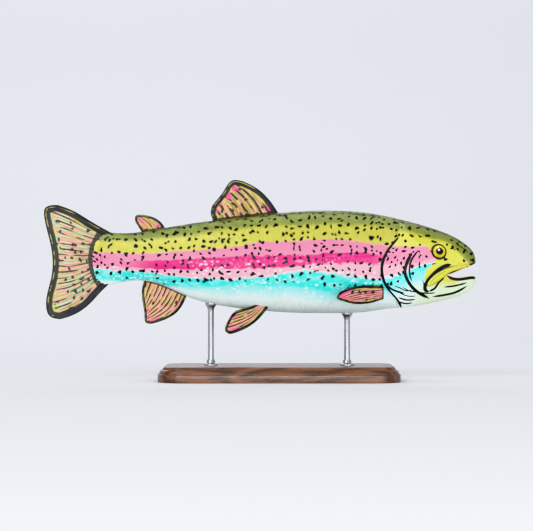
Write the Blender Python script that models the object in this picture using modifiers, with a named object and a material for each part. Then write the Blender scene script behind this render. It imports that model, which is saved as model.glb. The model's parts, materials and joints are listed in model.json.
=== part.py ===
"""Adult rainbow trout, life size, swimming level with its mouth a little open, on a plain display stand.

The snout points along +X and the back along +Z, and the origin is under the middle of the stand's base. The
body is one loft whose back, belly, width and jaw lines are smooth curves along the fish. Thin gaps part it
into head, lower jaw, gill covers, trunk and tail stalk. Places along the fish are distances behind the
snout, and heights are counted from its long axis, both in millimetres.
"""

import math

import bmesh
import bpy
import numpy as np
from mathutils import Vector

MM = 0.001
SHARP_ANGLE = math.radians(40)

# Driving sizes
TOTAL_LENGTH = 450.0
AXIS_HEIGHT = 124.0
MOUTH_CORNER = 32.0
THROAT = 62.0
STALK_START = 349.0
FLESH_END = 395.0
GAP = 0.3
PLATE_DEPTH = 3.0
EYE_CENTRE = (39.5, 10.4)
EYE_RADII = (9.4, 5.2, 9.4)
EYE_PROUD = 2.2
TONGUE_CENTRE = (27.0, -20.2)
TONGUE_RADII = (12.0, 5.5, 1.9)
ROD_PLACES = {"stand_rod_front": 134.0, "stand_rod_rear": 276.0}
ROD_RADIUS = 3.2
MAXILLA_LIFT = 1.15
BASE_SIZE = (250.0, 112.0, 16.0)
BASE_CORNER = 26.0
BASE_EDGE = 3.0

# Lines of the body: (distance, height or half-width)
BACK = [(0, 0), (3, 10.5), (10, 17.7), (20, 24.3), (43, 34), (62, 39.7), (83, 45.2), (115, 51.2), (150, 53.4),
        (203, 51.2), (238, 47.5), (273, 43.2), (316, 36.8), (349, 31.2), (372, 29.9), (396, 33)]
BELLY = [(60, -45.5), (75, -48), (94, -50), (123, -53.4), (150, -54), (203, -52.8), (235, -50), (265, -46.2),
         (298, -37.6), (318, -28.6), (336, -22), (354, -20.2), (374, -22.8), (396, -29)]
HALF_WIDTH = [(0, 0), (3, 7), (10, 11.8), (20, 15), (32, 17.8), (45, 20.2), (60, 23.2), (80, 26.2),
              (100, 27.6), (150, 28.6), (200, 27.4), (240, 24.6), (273, 21), (316, 15), (349, 11), (372, 8.4),
              (396, 3)]
WIDEST = [(0, -1.5), (10, -5.5), (20, -9.5), (32, -13.6), (45, -13.6), (60, -10), (80, -5.5), (110, -2),
          (160, 0), (260, 2), (349, 5), (396, 2)]
JAW_TOP = [(0, -16.4), (6, -15.4), (16, -16.9), (25, -16.4), (32, -13.6)]
JAW_UNDER = [(0, -16.4), (1, -22.6), (3, -26.8), (10, -32.4), (20, -36.8), (33, -40.4), (52, -44.6),
             (71, -47.5), (94, -50)]
JAW_HALF_WIDTH = [(0, 0), (3, 6), (10, 10.4), (20, 14.2), (32, 17.8)]
ROUND_ABOVE, ROUND_BELOW = 2.15, 2.25
ARC_POINTS = 8
LIP_WIDTH = 3.0
PALATE_RISE, FLOOR_DROP = 7.0, -9.0
THROAT_FALL = 10.5
CHEEK_SPAN = (62.0, 92.0)

# Seams on the side of the head: (distance, height)
GILL_OPENING = [(76, 62), (78, 36), (82, 25), (90, 15), (96, 5), (98.8, -6), (97, -19), (90, -31), (82, -40),
                (74, -62)]
CHEEK_EDGE = [(60, 17), (68, 10), (74, 0), (76, -10), (73, -20), (68, -27), (66, -35)]
JAW_SEAM = [(-10, -11), (10, -11), (20, -13), (32, -13.8), (45, -20), (56, -28), (66, -38), (76, -64)]
COVER_FOOT, COVER_TOP = [(74, -39), (112, -39)], [(112, 24.5), (84, 24.5), (72, 22.5)]
UPPER_LIP_BONE = [(7, -3.9), (18, -5.8), (28, -8.4), (40, -15.2), (52, -25)]
UPPER_LIP_BONE_WIDTH = [(0, 1.4), (1, 2.2), (2, 3.1), (3, 4.0), (4, 2.6)]

# Fins: the base, the leading edge, the margin and the rear edge, as (distance, height), the thickness at
# the base, and for the paired fins how far the base stands off the middle and how the fin splays outwards,
# per millimetre down and per millimetre back
FINS = {
    "dorsal_fin": dict(
        base=[(203, 46), (238, 42), (272, 38)],
        front=[(203, 46), (214, 63), (228, 76.4), (244, 84.4)],
        margin=[(244, 84.4), (254, 84.6), (262.6, 74), (271.3, 62.8), (278, 54)],
        rear=[(272, 38), (275, 46), (278, 54)], thick=3.0),
    "adipose_fin": dict(
        base=[(322, 32), (334, 30), (346, 28)],
        front=[(322, 32), (328, 41), (337, 46.6), (348, 49)],
        margin=[(348, 49), (354.5, 47.6), (356, 43.5)],
        rear=[(346, 28), (351.5, 36), (356, 43.5)], thick=3.2),
    "anal_fin": dict(
        base=[(300, -33), (323, -23), (345, -17)],
        front=[(300, -33), (311, -52.5), (325, -61), (340, -65.6)],
        margin=[(340, -65.6), (343.8, -64), (345.4, -56), (347, -44.4)],
        rear=[(345, -17), (348, -30), (347, -44.4)], thick=2.8),
    "tail_fin": dict(
        base=[(372, 26), (382, 2), (374, -18)],
        front=[(372, 26), (386, 33.5), (400, 41.4), (415, 50.6), (426, 55.8), (437, 59.5)],
        margin=[(437, 59.5), (448.8, 56), (449.4, 44), (443, 16), (441.2, 0), (443, -18), (448, -43),
                (444, -57), (434, -60.4)],
        rear=[(374, -18), (387, -28), (402.6, -44.4), (420, -56), (434, -60.4)], thick=3.4),
    "pelvic_fin": dict(
        base=[(215, -46), (221, -45), (228, -44)],
        front=[(215, -46), (228.5, -61.8), (244, -71.3), (257, -75.6)],
        margin=[(257, -75.6), (260.6, -72), (259, -63), (252.3, -51.6)],
        rear=[(228, -44), (240, -48.5), (252.3, -51.6)], thick=2.6, stand_off=10.0, splay=(0.36, 0.10)),
    "pectoral_fin": dict(
        base=[(97, -25), (97, -31.5), (97, -38)],
        front=[(97, -25), (116, -24.6), (133.4, -27), (147, -33.4)],
        margin=[(147, -33.4), (146.6, -37), (140, -40.6), (130, -43.8)],
        rear=[(97, -38), (104, -41), (116, -43.6), (130, -43.8)], thick=2.6, stand_off=24.7,
        splay=(-0.40, 0.40)),
}
FIN_MARGIN_SHARE = 0.36
FIN_GRID = (7, 9)


def read_curve(points, rounded=True):
    """A natural cubic spline through points, as a function. With rounded it is read against the square root
    of the distance, which gives the snout a blunt front."""
    at, value = np.array(points, float).T
    knots = np.sqrt(at) if rounded else at
    step = np.diff(knots)
    slope = np.diff(value) / step
    matrix = np.eye(len(knots))
    right = np.zeros(len(knots))
    for k in range(1, len(knots) - 1):
        matrix[k, k - 1:k + 2] = step[k - 1], 2 * (step[k - 1] + step[k]), step[k]
        right[k] = 6 * (slope[k] - slope[k - 1])
    bend = np.linalg.solve(matrix, right)

    def value_at(where):
        x = np.clip(np.asarray(where, float), at[0], at[-1])
        x = np.sqrt(x) if rounded else x
        k = np.clip(np.searchsorted(knots, x) - 1, 0, len(step) - 1)
        a, b, h = knots[k + 1] - x, x - knots[k], step[k]
        cubic = (bend[k] * a ** 3 + bend[k + 1] * b ** 3) / (6 * h)
        return cubic + (value[k] / h - bend[k] * h / 6) * a + (value[k + 1] / h - bend[k + 1] * h / 6) * b

    return value_at


def smooth_path(points, count):
    """count points along a smooth curve through points, evenly spaced along it."""
    points = np.array(points, float)
    along = np.concatenate([[0], np.cumsum(np.linalg.norm(np.diff(points, axis=0), axis=1))])
    where = np.linspace(0, along[-1], count)
    return np.stack([read_curve(list(zip(along, axis)), rounded=False)(where) for axis in points.T], -1)


def beside(path, distance):
    """The path moved sideways in its plane: with a positive distance, to the left of its direction."""
    along = np.gradient(path, axis=0)
    along /= np.linalg.norm(along, axis=1, keepdims=True)
    return path + distance * np.stack([-along[:, 1], along[:, 0]], -1)


def swell(outline, distance):
    """A closed outline, listed counter-clockwise, moved outwards all round with its corners mitred."""
    edges = outline - np.roll(outline, 1, axis=0)
    normal = np.stack([edges[:, 1], -edges[:, 0]], -1) / np.linalg.norm(edges, axis=1, keepdims=True)
    mitre = normal + np.roll(normal, -1, axis=0)
    return outline + 2 * distance * mitre / (mitre ** 2).sum(axis=1, keepdims=True)


back_line, belly_line, jaw_under = read_curve(BACK), read_curve(BELLY), read_curve(JAW_UNDER)
half_width, widest_line = read_curve(HALF_WIDTH), read_curve(WIDEST)
jaw_top, jaw_half_width = read_curve(JAW_TOP), read_curve(JAW_HALF_WIDTH)


def under_line(at):
    """Height of the underside: the open jaw's as far as the cheek, then the belly's."""
    start, end = CHEEK_SPAN
    share = np.clip((np.asarray(at, float) - start) / (end - start), 0, 1)
    share = share * share * (3 - 2 * share)
    return jaw_under(at) * (1 - share) + belly_line(at) * share


def world(at, side, height):
    """Points of the model in metres, from distances, offsets to the left and heights."""
    at, side, height = np.broadcast_arrays(at, side, height)
    return np.stack([TOTAL_LENGTH / 2 - at, side, height + AXIS_HEIGHT], -1) * MM


def skin_side(at, height):
    """Half the body's width at a height: two superellipse quarters that meet at its widest line."""
    middle = widest_line(at)
    above = np.clip((height - middle) / (back_line(at) - middle), 0, 1) ** ROUND_ABOVE
    below = np.clip((middle - height) / (middle - under_line(at)), 0, 1) ** ROUND_BELOW
    return half_width(at) * np.where(height > middle, (1 - above) ** (1 / ROUND_ABOVE),
                                     (1 - below) ** (1 / ROUND_BELOW))


def quarter(count, power):
    """(across, up) along a superellipse quarter, from its top to its widest point."""
    turn = np.linspace(0, math.pi / 2, count)
    return np.sin(turn) ** (2 / power), np.cos(turn) ** (2 / power)


def shade(name, colour, roughness, metallic=0.0):
    """A plain Principled material."""
    material = bpy.data.materials.new(name)
    material.use_nodes = True
    shader = material.node_tree.nodes["Principled BSDF"]
    shader.inputs["Base Color"].default_value = (*colour, 1)
    shader.inputs["Roughness"].default_value = roughness
    shader.inputs["Metallic"].default_value = metallic
    return material


def place(name, mesh, collection, material=None):
    """A new object in a collection. Without a material it is a cutter, drawn as wires and left out."""
    found = bpy.data.objects.new(name, mesh)
    collection.objects.link(found)
    if material:
        mesh.materials.append(material)
        mesh.shade_smooth()
        mesh.set_sharp_from_angle(angle=SHARP_ANGLE)
    else:
        found.hide_render = True
        found.display_type = "WIRE"
    return found


def join_patches(name, patches, caps=()):
    """A mesh from grids of points, plus flat caps given by their outlines, welded where they meet."""
    points, faces, count = [], [], 0
    for patch in patches:
        rows, columns = patch.shape[:2]
        corner = count + np.arange((rows - 1) * columns).reshape(rows - 1, columns)[:, :-1].ravel()
        faces += [(a, a + columns, a + columns + 1, a + 1) for a in corner.tolist()]
        points.append(patch.reshape(-1, 3))
        count += rows * columns
    for outline in caps:
        faces.append(tuple(range(count, count + len(outline))))
        points.append(outline)
        count += len(outline)
    mesh = bpy.data.meshes.new(name)
    mesh.from_pydata(np.concatenate(points), [], faces)
    made = bmesh.new()
    made.from_mesh(mesh)
    bmesh.ops.remove_doubles(made, verts=made.verts, dist=1e-6)
    bmesh.ops.recalc_face_normals(made, faces=made.faces)
    made.to_mesh(mesh)
    made.free()
    return mesh


def mirror(item):
    """Completes a half that is open at the fish's middle plane."""
    copy = item.modifiers.new("Mirror", "MIRROR")
    copy.use_axis = (False, True, False)
    copy.merge_threshold = 0.00001
    return item


def cut(item, cutter, operation="DIFFERENCE"):
    """Cuts an object with a hidden one, or keeps only what they share."""
    step = item.modifiers.new(cutter.name, "BOOLEAN")
    step.operation = operation
    step.object = cutter
    return item


def skin_rows(at, proud, wide, top, bottom, widest):
    """Half rings at the distances at: (upper, lower) grids, each from the middle plane to the widest line."""
    across_above, up = quarter(ARC_POINTS, ROUND_ABOVE)
    across_below, down = quarter(ARC_POINTS, ROUND_BELOW)
    at, wide = at[:, None], (wide + proud * np.clip(at / 3, 0, 1))[:, None]
    top, bottom, widest = (top + proud)[:, None], (bottom - proud)[:, None], widest[:, None]
    return (world(at, wide * across_above, widest + (top - widest) * up),
            world(at, wide * across_below, widest - (widest - bottom) * down))


def outer_form(name, start, end, count, proud, collection):
    """A hidden closed copy of the body between two distances, without its mouth, swollen or shrunk."""
    at = np.linspace(start, end, count)
    upper, lower = skin_rows(at, proud, half_width(at), back_line(at), under_line(at), widest_line(at))
    caps = [np.concatenate([upper[k], lower[k, -2::-1]]) for k in (0, -1)]
    return mirror(place(name, join_patches(name, (upper, lower), caps), collection))


def mouth_lining(at, edge_width, edge_height, rise):
    """Half of the palate, or of the mouth's floor: a vault from inside the lip that closes at the throat."""
    lip_at = np.minimum(at, MOUTH_CORNER)
    depth = np.clip(at - MOUTH_CORNER, 0, None) / (THROAT - MOUTH_CORNER)
    open_share = np.sqrt(np.clip(1 - depth ** 2, 0, 1))
    lip = np.minimum(LIP_WIDTH, 0.45 * edge_width(lip_at))
    reach = (edge_width(lip_at) - lip) * open_share
    sill = edge_height(lip_at) - THROAT_FALL * depth
    vault = rise * np.clip(at / 12, 0, 1) * open_share
    turn = np.linspace(0, math.pi / 2, 6)
    return world(at[:, None], reach[:, None] * np.cos(turn), sill[:, None] + vault[:, None] * np.sin(turn))


def body_mesh():
    """Half of the whole body, open at the middle plane: two lips that meet at the mouth's corner, the skin
    above and below them, and the mouth's lining, which closes at the throat."""
    snout = MOUTH_CORNER * (1 - np.cos(np.linspace(0, math.pi / 2, 9)))
    mouth = np.linspace(MOUTH_CORNER, THROAT, 7)
    rear = np.concatenate([np.linspace(THROAT, STALK_START, 29), np.linspace(STALK_START, FLESH_END, 6)[1:]])
    at = np.concatenate([snout, mouth[1:], rear[1:]])
    top, bottom, widest, wide = back_line(at), under_line(at), widest_line(at), half_width(at)
    upper, lower = skin_rows(at, 0, wide, top, bottom, widest)
    ahead = at[:len(snout)]
    lower[:len(snout)] = skin_rows(ahead, 0, jaw_half_width(ahead), top[:len(snout)], bottom[:len(snout)],
                                   jaw_top(ahead))[1]
    inside = np.concatenate([snout, mouth[1:]])
    palate = mouth_lining(inside, half_width, widest_line, PALATE_RISE)
    floor = mouth_lining(inside, jaw_half_width, jaw_top, FLOOR_DROP)
    lips = [np.stack([skin[:len(snout), -1], lining[:len(snout), 0]], 1)
            for skin, lining in ((upper, palate), (lower, floor))]
    tail_cap = np.concatenate([upper[-1], lower[-1, -2::-1]])
    return join_patches("body", [upper, lower, palate, floor, *lips], [tail_cap])


def prism(name, outline, left, right, collection):
    """A hidden cutter: a side-view outline carried across the fish from one offset to another."""
    ends = [world(outline[:, 0], side, outline[:, 1]) for side in (left, right)]
    wall = np.stack([np.concatenate([end, end[:1]]) for end in ends])
    return place(name, join_patches(name, [wall], ends), collection)


def build_flesh(parts, cutters, body):
    """The body's own pieces: each is the whole body kept inside one outline, less what lies over it."""
    gill, seam = smooth_path(GILL_OPENING, 29), smooth_path(JAW_SEAM, 21)
    half_gap, reach, far = GAP / 2, 60.0, 90.0
    above_seam = beside(seam, half_gap)
    above_seam = above_seam[above_seam[:, 0] < gill[-1, 0]]
    regions = {
        "head": np.concatenate([above_seam, beside(gill, -half_gap)[::-1], [(-10, far)]]),
        "lower_jaw": np.concatenate([beside(seam, -half_gap), [(-10, -far)]]),
        "trunk": np.concatenate([beside(gill, half_gap), [(STALK_START - half_gap, -far),
                                                          (STALK_START - half_gap, far)]]),
        "tail_stalk": np.array([(STALK_START + half_gap, -far), (STALK_START + half_gap, far),
                                (FLESH_END + 9, far), (FLESH_END + 9, -far)]),
    }
    skin = shade("trout_skin", (0.42, 0.36, 0.16), 0.35, 0.2)
    flesh = {}
    for name, outline in regions.items():
        piece = mirror(place(name, body.copy(), parts, skin))
        flesh[name] = cut(piece, prism(f"{name}_limit", outline, -reach, reach, cutters), "INTERSECT")
    return flesh


def build_gill_covers(parts, cutters, body, flesh):
    """The two gill covers: plates cut out of the sides of the head, each with its pocket beneath it."""
    plate_outline = np.concatenate([smooth_path(CHEEK_EDGE, 15), COVER_FOOT, COVER_TOP])
    pocket_outline = swell(plate_outline, GAP)
    plate_core = outer_form("plate_core", 50, 115, 18, -PLATE_DEPTH, cutters)
    pocket_core = outer_form("pocket_core", 50, 115, 18, -PLATE_DEPTH - GAP, cutters)
    skin = shade("gill_cover_skin", (0.75, 0.15, 0.28), 0.3, 0.3)
    for name, side in (("left", 1), ("right", -1)):
        piece = mirror(place(f"gill_cover_{name}", body.copy(), parts, skin))
        cut(piece, bpy.data.objects["head_limit"], "INTERSECT")
        cut(piece, prism(f"cover_limit_{name}", plate_outline, side * 3, side * 45, cutters), "INTERSECT")
        cut(piece, plate_core)
        pocket = prism(f"pocket_{name}", pocket_outline, side * 2.5, side * 46, cutters)
        cut(flesh["head"], cut(pocket, pocket_core))


def ball_mesh(name, radii, segments, rings):
    """A squashed sphere."""
    mesh = bpy.data.meshes.new(name)
    made = bmesh.new()
    bmesh.ops.create_uvsphere(made, u_segments=segments, v_segments=rings, radius=1)
    bmesh.ops.scale(made, vec=[radius * MM for radius in radii], verts=made.verts)
    made.to_mesh(mesh)
    made.free()
    return mesh


def build_eyes(parts, cutters, flesh):
    """Two squashed spheres that look along the head's surface normal, each in a socket of its own shape."""
    glass = shade("eye_glass", (0.45, 0.36, 0.05), 0.08)
    at, height = EYE_CENTRE
    long, deep, tall = EYE_RADII
    slope_back = (skin_side(at + long, height) - skin_side(at - long, height)) / (2 * long)
    slope_up = (skin_side(at, height + tall) - skin_side(at, height - tall)) / (2 * tall)
    for name, side in (("left", 1), ("right", -1)):
        normal = Vector((slope_back, side, -slope_up)).normalized()
        surface = Vector(world(at, side * skin_side(at, height), height))
        eye = place(f"eye_{name}", ball_mesh("eye", (long, tall, deep), 18, 10), parts, glass)
        roomy = ball_mesh("socket", (long + GAP, tall + GAP, deep + GAP), 18, 10)
        socket = place(f"socket_{name}", roomy, cutters)
        for ball in (eye, socket):
            ball.rotation_euler = normal.to_track_quat("Z", "Y").to_euler()
            ball.location = surface - normal * (deep - EYE_PROUD) * MM
        cut(flesh["head"], socket)


def plate(name, points, weights, thickness, least_share, collection, material):
    """A sheet over a grid of points, thickened evenly to both sides: fully where its weight is 1, and by
    least_share of that where it is 0."""
    rows, columns = points.shape[:2]
    corner = np.arange((rows - 1) * columns).reshape(rows - 1, columns)[:, :-1].ravel().tolist()
    mesh = bpy.data.meshes.new(name)
    mesh.from_pydata(points.reshape(-1, 3), [], [(a, a + 1, a + columns + 1, a + columns) for a in corner])
    sheet = place(name, mesh, collection, material)
    taper = sheet.vertex_groups.new(name="taper")
    for index, weight in enumerate(weights.ravel().tolist()):
        taper.add([index], weight, "REPLACE")
    solid = sheet.modifiers.new("Solidify", "SOLIDIFY")
    solid.thickness = thickness * MM
    solid.offset = 0
    solid.vertex_group = taper.name
    solid.thickness_vertex_group = least_share
    return sheet


def build_maxillae(parts):
    """The bones of the upper lip: two blades that lie on the head from the snout to behind the mouth."""
    skin = shade("upper_lip_skin", (0.45, 0.50, 0.12), 0.35, 0.1)
    middle = smooth_path(UPPER_LIP_BONE, 12)
    half = read_curve(UPPER_LIP_BONE_WIDTH, rounded=False)(np.linspace(0, 4, 12))
    across = np.linspace(-1, 1, 5)
    blade = np.stack([beside(middle, (half * share)[:, None]) for share in across], 1)
    at, height = blade[..., 0], blade[..., 1]
    crown = np.broadcast_to(1 - across ** 2, at.shape)
    for name, side in (("left", 1), ("right", -1)):
        points = world(at, side * (skin_side(at, height) + MAXILLA_LIFT), height)
        plate(f"maxilla_{name}", points, crown, 1.4, 0.5, parts, skin)


def fin_grid(base, front, margin, rear):
    """A grid blended from a fin's four edges: rows run from the base to the margin, and columns from the
    leading edge to the rear one."""
    rows, columns = FIN_GRID
    low, high = smooth_path(base, columns)[None], smooth_path(margin, columns)[None]
    lead, trail = smooth_path(front, rows)[:, None], smooth_path(rear, rows)[:, None]
    u, v = np.linspace(0, 1, columns)[None, :, None], np.linspace(0, 1, rows)[:, None, None]
    corners = ((1 - u) * (1 - v) * lead[:1] + u * (1 - v) * trail[:1]
               + (1 - u) * v * lead[-1:] + u * v * trail[-1:])
    return (1 - v) * low + v * high + (1 - u) * lead + u * trail - corners


def build_fins(parts, body_shadow):
    """Every fin as a plate that thins towards its margin, trimmed where it enters the body."""
    skin = shade("fin_skin", (0.70, 0.34, 0.22), 0.35)
    for name, fin in FINS.items():
        grid = fin_grid(fin["base"], fin["front"], fin["margin"], fin["rear"])
        at, height = grid[..., 0], grid[..., 1]
        taper = np.linspace(1, 0, FIN_GRID[0])[:, None] * np.ones(FIN_GRID[1])
        sides = {"": 0}
        offset = np.zeros_like(at)
        if "splay" in fin:
            sides = {"_left": 1, "_right": -1}
            down, back = fin["splay"]
            first_at, first_height = fin["base"][0]
            offset = fin["stand_off"] + down * (first_height - height) + back * (at - first_at)
        for suffix, side in sides.items():
            sheet = plate(name + suffix, world(at, side * offset, height), taper, fin["thick"],
                          FIN_MARGIN_SHARE, parts, skin)
            cut(sheet, body_shadow)


def build_tongue(parts):
    """The tongue: a low mound on the floor of the mouth."""
    at, height = TONGUE_CENTRE
    tongue = place("tongue", ball_mesh("tongue", TONGUE_RADII, 12, 6), parts,
                   shade("tongue_flesh", (0.75, 0.35, 0.33), 0.3))
    tongue.location = Vector(world(at, 0, height))


def build_stand(parts, body_shadow):
    """A rounded wooden base, and two steel rods whose heads are cut to the belly's curve."""
    wood = shade("stand_wood", (0.10, 0.045, 0.02), 0.4)
    steel = shade("rod_steel", (0.6, 0.6, 0.6), 0.25, 1.0)
    mesh = bpy.data.meshes.new("stand_base")
    made = bmesh.new()
    bmesh.ops.create_cube(made, size=1)
    bmesh.ops.scale(made, vec=[size * MM for size in BASE_SIZE], verts=made.verts)
    upright = [edge for edge in made.edges if abs(edge.verts[0].co.z - edge.verts[1].co.z) > MM]
    bmesh.ops.bevel(made, geom=upright, offset=BASE_CORNER * MM, segments=6, profile=0.5, affect="EDGES")
    top = max(vertex.co.z for vertex in made.verts)
    rim = [edge for edge in made.edges if edge.verts[0].co.z > top - MM / 10 < edge.verts[1].co.z]
    bmesh.ops.bevel(made, geom=rim, offset=BASE_EDGE * MM, segments=3, profile=0.5, affect="EDGES")
    made.to_mesh(mesh)
    made.free()
    base = place("stand_base", mesh, parts, wood)
    middle = sum(ROD_PLACES.values()) / len(ROD_PLACES)
    base.location = (TOTAL_LENGTH / 2 * MM - middle * MM, 0, BASE_SIZE[2] / 2 * MM)
    for name, at in ROD_PLACES.items():
        foot = BASE_SIZE[2]
        head = AXIS_HEIGHT + float(under_line(at)) + ROD_RADIUS
        mesh = bpy.data.meshes.new(name)
        made = bmesh.new()
        bmesh.ops.create_cone(made, cap_ends=True, segments=16, radius1=ROD_RADIUS * MM,
                              radius2=ROD_RADIUS * MM, depth=(head - foot) * MM)
        made.to_mesh(mesh)
        made.free()
        rod = place(name, mesh, parts, steel)
        rod.location = ((TOTAL_LENGTH / 2 - at) * MM, 0, (head + foot) / 2 * MM)
        cut(rod, body_shadow)


def main():
    for item in list(bpy.data.objects):
        bpy.data.objects.remove(item)
    parts = bpy.data.collections.new("rainbow_trout")
    cutters = bpy.data.collections.new("cutters")
    for collection in (parts, cutters):
        bpy.context.scene.collection.children.link(collection)
    body = body_mesh()
    flesh = build_flesh(parts, cutters, body)
    build_gill_covers(parts, cutters, body, flesh)
    build_eyes(parts, cutters, flesh)
    build_maxillae(parts)
    build_tongue(parts)
    body_shadow = outer_form("body_shadow", MOUTH_CORNER, FLESH_END + GAP, 44, GAP, cutters)
    build_fins(parts, body_shadow)
    build_stand(parts, body_shadow)


main()
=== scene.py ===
"""A life-size rainbow trout on its display stand: skin, scales, fins, eyes, mouth and stand.

Shapes are worked out in millimetres as (behind the snout, to the left, above the long axis) and placed
in the frame by world(). The skin, the scales and the lip bones share one form, so they lie on each other.
"""

import json
import logging
from dataclasses import dataclass
from enum import Enum
from functools import cached_property
from math import pi, radians, sqrt
from typing import Any, Callable, Iterable, Sequence

import bmesh
import bpy
import numpy as np
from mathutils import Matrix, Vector

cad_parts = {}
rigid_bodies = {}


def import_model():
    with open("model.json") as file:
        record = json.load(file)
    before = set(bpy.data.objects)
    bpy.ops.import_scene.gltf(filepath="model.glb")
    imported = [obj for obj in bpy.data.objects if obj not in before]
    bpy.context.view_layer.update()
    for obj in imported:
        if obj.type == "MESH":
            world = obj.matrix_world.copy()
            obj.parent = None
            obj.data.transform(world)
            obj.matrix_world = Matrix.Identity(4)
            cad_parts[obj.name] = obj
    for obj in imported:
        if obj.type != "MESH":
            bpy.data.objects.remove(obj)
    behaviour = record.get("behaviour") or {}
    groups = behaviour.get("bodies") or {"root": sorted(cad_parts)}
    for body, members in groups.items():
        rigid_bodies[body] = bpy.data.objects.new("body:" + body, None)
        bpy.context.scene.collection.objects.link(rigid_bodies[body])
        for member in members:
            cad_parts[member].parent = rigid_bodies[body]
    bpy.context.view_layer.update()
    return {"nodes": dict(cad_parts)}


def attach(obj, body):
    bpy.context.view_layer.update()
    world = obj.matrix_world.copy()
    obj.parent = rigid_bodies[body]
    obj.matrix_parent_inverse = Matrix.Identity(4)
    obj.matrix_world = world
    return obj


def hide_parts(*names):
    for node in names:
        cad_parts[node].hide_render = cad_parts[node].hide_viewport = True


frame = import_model()
LOG = logging.getLogger("trout")

Array = np.ndarray
Points = Sequence[tuple[float, float]]
Colour = tuple[int, int, int]
Real = Array | float
Values = dict[str, Array]
Item = bpy.types.Object
Material = bpy.types.Material
Socket = bpy.types.NodeSocket

MM = 0.001
LENGTH = 450.0
AXIS_HEIGHT = 124.0
MOUTH_CORNER = 32.0
THROAT = 62.0
GILL_ROW = 90.0
HEAD_END = 112.0
FLESH_END = (391.0, 401.0)
COAT_DEPTH = 0.3
LIP_WIDTH = 3.0
PALATE_RISE, FLOOR_DROP, THROAT_FALL = 7.0, -9.0, 10.5
CHEEK_SPAN = (62.0, 92.0)
ROUND_ABOVE, ROUND_BELOW = 2.15, 2.25
EYE_CENTRE, EYE_LONG, EYE_DEEP, EYE_PROUD = (39.5, 10.4), 9.4, 5.2, 2.2
SEED = 7
# The dark lines of painted shade along the head's creases, the gill opening, the lips and in the nostrils:
# the least and the greatest of how far inside one a place is.
SHADE_LINE_OUT, SHADE_LINE_FULL = -2.0, 1.4
FACE_OUT, FACE_FULL = -6.0, 6.0
SIDE_SHIFT = 500.0
SIDES = (("left", 1), ("right", -1))

# Lines of the body: (distance behind the snout, height or half-width)
BACK = [(0, 0), (3, 10.5), (10, 17.7), (20, 24.3), (43, 34), (62, 39.7), (83, 45.2), (115, 51.2), (150, 53.4),
        (203, 51.2), (238, 47.5), (273, 43.2), (316, 36.8), (349, 31.2), (372, 29.9), (396, 33)]
BELLY = [(60, -45.5), (75, -48), (94, -50), (123, -53.4), (150, -54), (203, -52.8), (235, -50), (265, -46.2),
         (298, -37.6), (318, -28.6), (336, -22), (354, -20.2), (374, -22.8), (396, -29)]
HALF_WIDTH = [(0, 0), (3, 7), (10, 11.8), (20, 15), (32, 17.8), (45, 20.2), (60, 23.2), (80, 26.2),
              (100, 27.6), (150, 28.6), (200, 27.4), (240, 24.6), (273, 21), (316, 15), (349, 11), (372, 8.4),
              (396, 3)]
WIDEST = [(0, -1.5), (10, -5.5), (20, -9.5), (32, -13.6), (45, -13.6), (60, -10), (80, -5.5), (110, -2),
          (160, 0), (260, 2), (349, 5), (396, 2)]
JAW_TOP = [(0, -16.4), (6, -15.4), (16, -16.9), (25, -16.4), (32, -13.6)]
JAW_UNDER = [(0, -16.4), (1, -22.6), (3, -26.8), (10, -32.4), (20, -36.8), (33, -40.4), (52, -44.6),
             (71, -47.5), (94, -50)]
JAW_HALF_WIDTH = [(0, 0), (3, 6), (10, 10.4), (20, 14.2), (32, 17.8)]
LATERAL_LINE = [(84, 10), (110, 6.5), (160, 4), (240, 3), (320, 3.4), (360, 4.2), (402, 3)]
GILL_OPENING = [(76, 62), (78, 36), (82, 25), (90, 15), (96, 5), (98.8, -6), (97, -19), (90, -31), (82, -40),
                (74, -62)]
FACE_EDGE = [(-60, 56), (-28, 55), (-17, 54.6), (-8.4, 53), (-4, 47.5), (0, 44), (8, 46), (14, 50), (20, 62),
             (60, 80)]

BELLY_LEVEL, RIDGE_LEVEL = -55.0, 51.5
BAND_EDGES: tuple[tuple[float, Points], ...] = (
    # (an edge's level at mid-body, and its height at distances behind the snout)
    (-28.0, [(0, -30), (42, -5), (68, -17), (110, -31), (160, -31), (200, -25.5), (300, -26), (402, -16)]),
    (-13.0, [(0, -14), (42, -0.5), (68, -7.7), (88, -16), (110, -18), (152, -11.5), (193, -9.5), (240, -18),
             (308, -14.3), (350, -9.7), (402, -7)]),
    (-5.0, [(0, -4), (42, 3), (68, -3), (90, -4.5), (120, -1.5), (190, -5), (300, -8), (402, -5)]),
    (7.0, [(0, 0), (42, 8), (68, 6), (120, 9), (190, 7.5), (250, 6), (308, 2), (402, 1)]),
    (19.0, [(0, 4), (42, 16), (80, 16), (110, 19), (193, 21.5), (245, 17), (290, 11.5), (402, 9)]),
    (37.0, [(0, -8), (8, -2), (16, 6), (30, 19), (43, 22), (68, 30), (100, 37.5), (193, 39), (260, 34.5),
            (308, 27), (402, 21.5)]),
)


# ---- curves

def ease(value: Real, low: float, high: float) -> Array:
    """Smoothstep: 0 below low, 1 above high, and the cubic 3t^2 - 2t^3 between them."""
    share = np.clip((np.asarray(value, float) - low) / (high - low), 0, 1)
    return share * share * (3 - 2 * share)


def bell(value: Array, middle: Real, spread: Real) -> Array:
    """A bell curve: exp(-((value - middle) / spread)^2)."""
    return np.exp(-((value - middle) / spread) ** 2)


def quarter_round(value: Real) -> Array:
    """A quarter circle's height at a share of its radius: sqrt(1 - value^2), or 0 past its end."""
    return np.sqrt(np.clip(1 - np.asarray(value, float) ** 2, 0, 1))


def packed(*axes: Real) -> Array:
    """Coordinates side by side, brought to one shape."""
    return np.stack(np.broadcast_arrays(*axes), -1)


def fold_turn(turn: Array) -> Array:
    """A turn of the right side, below 0 or over 2, as the left side's."""
    return np.where(turn < 0, -turn, np.where(turn > 2, 4 - turn, turn))


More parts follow.
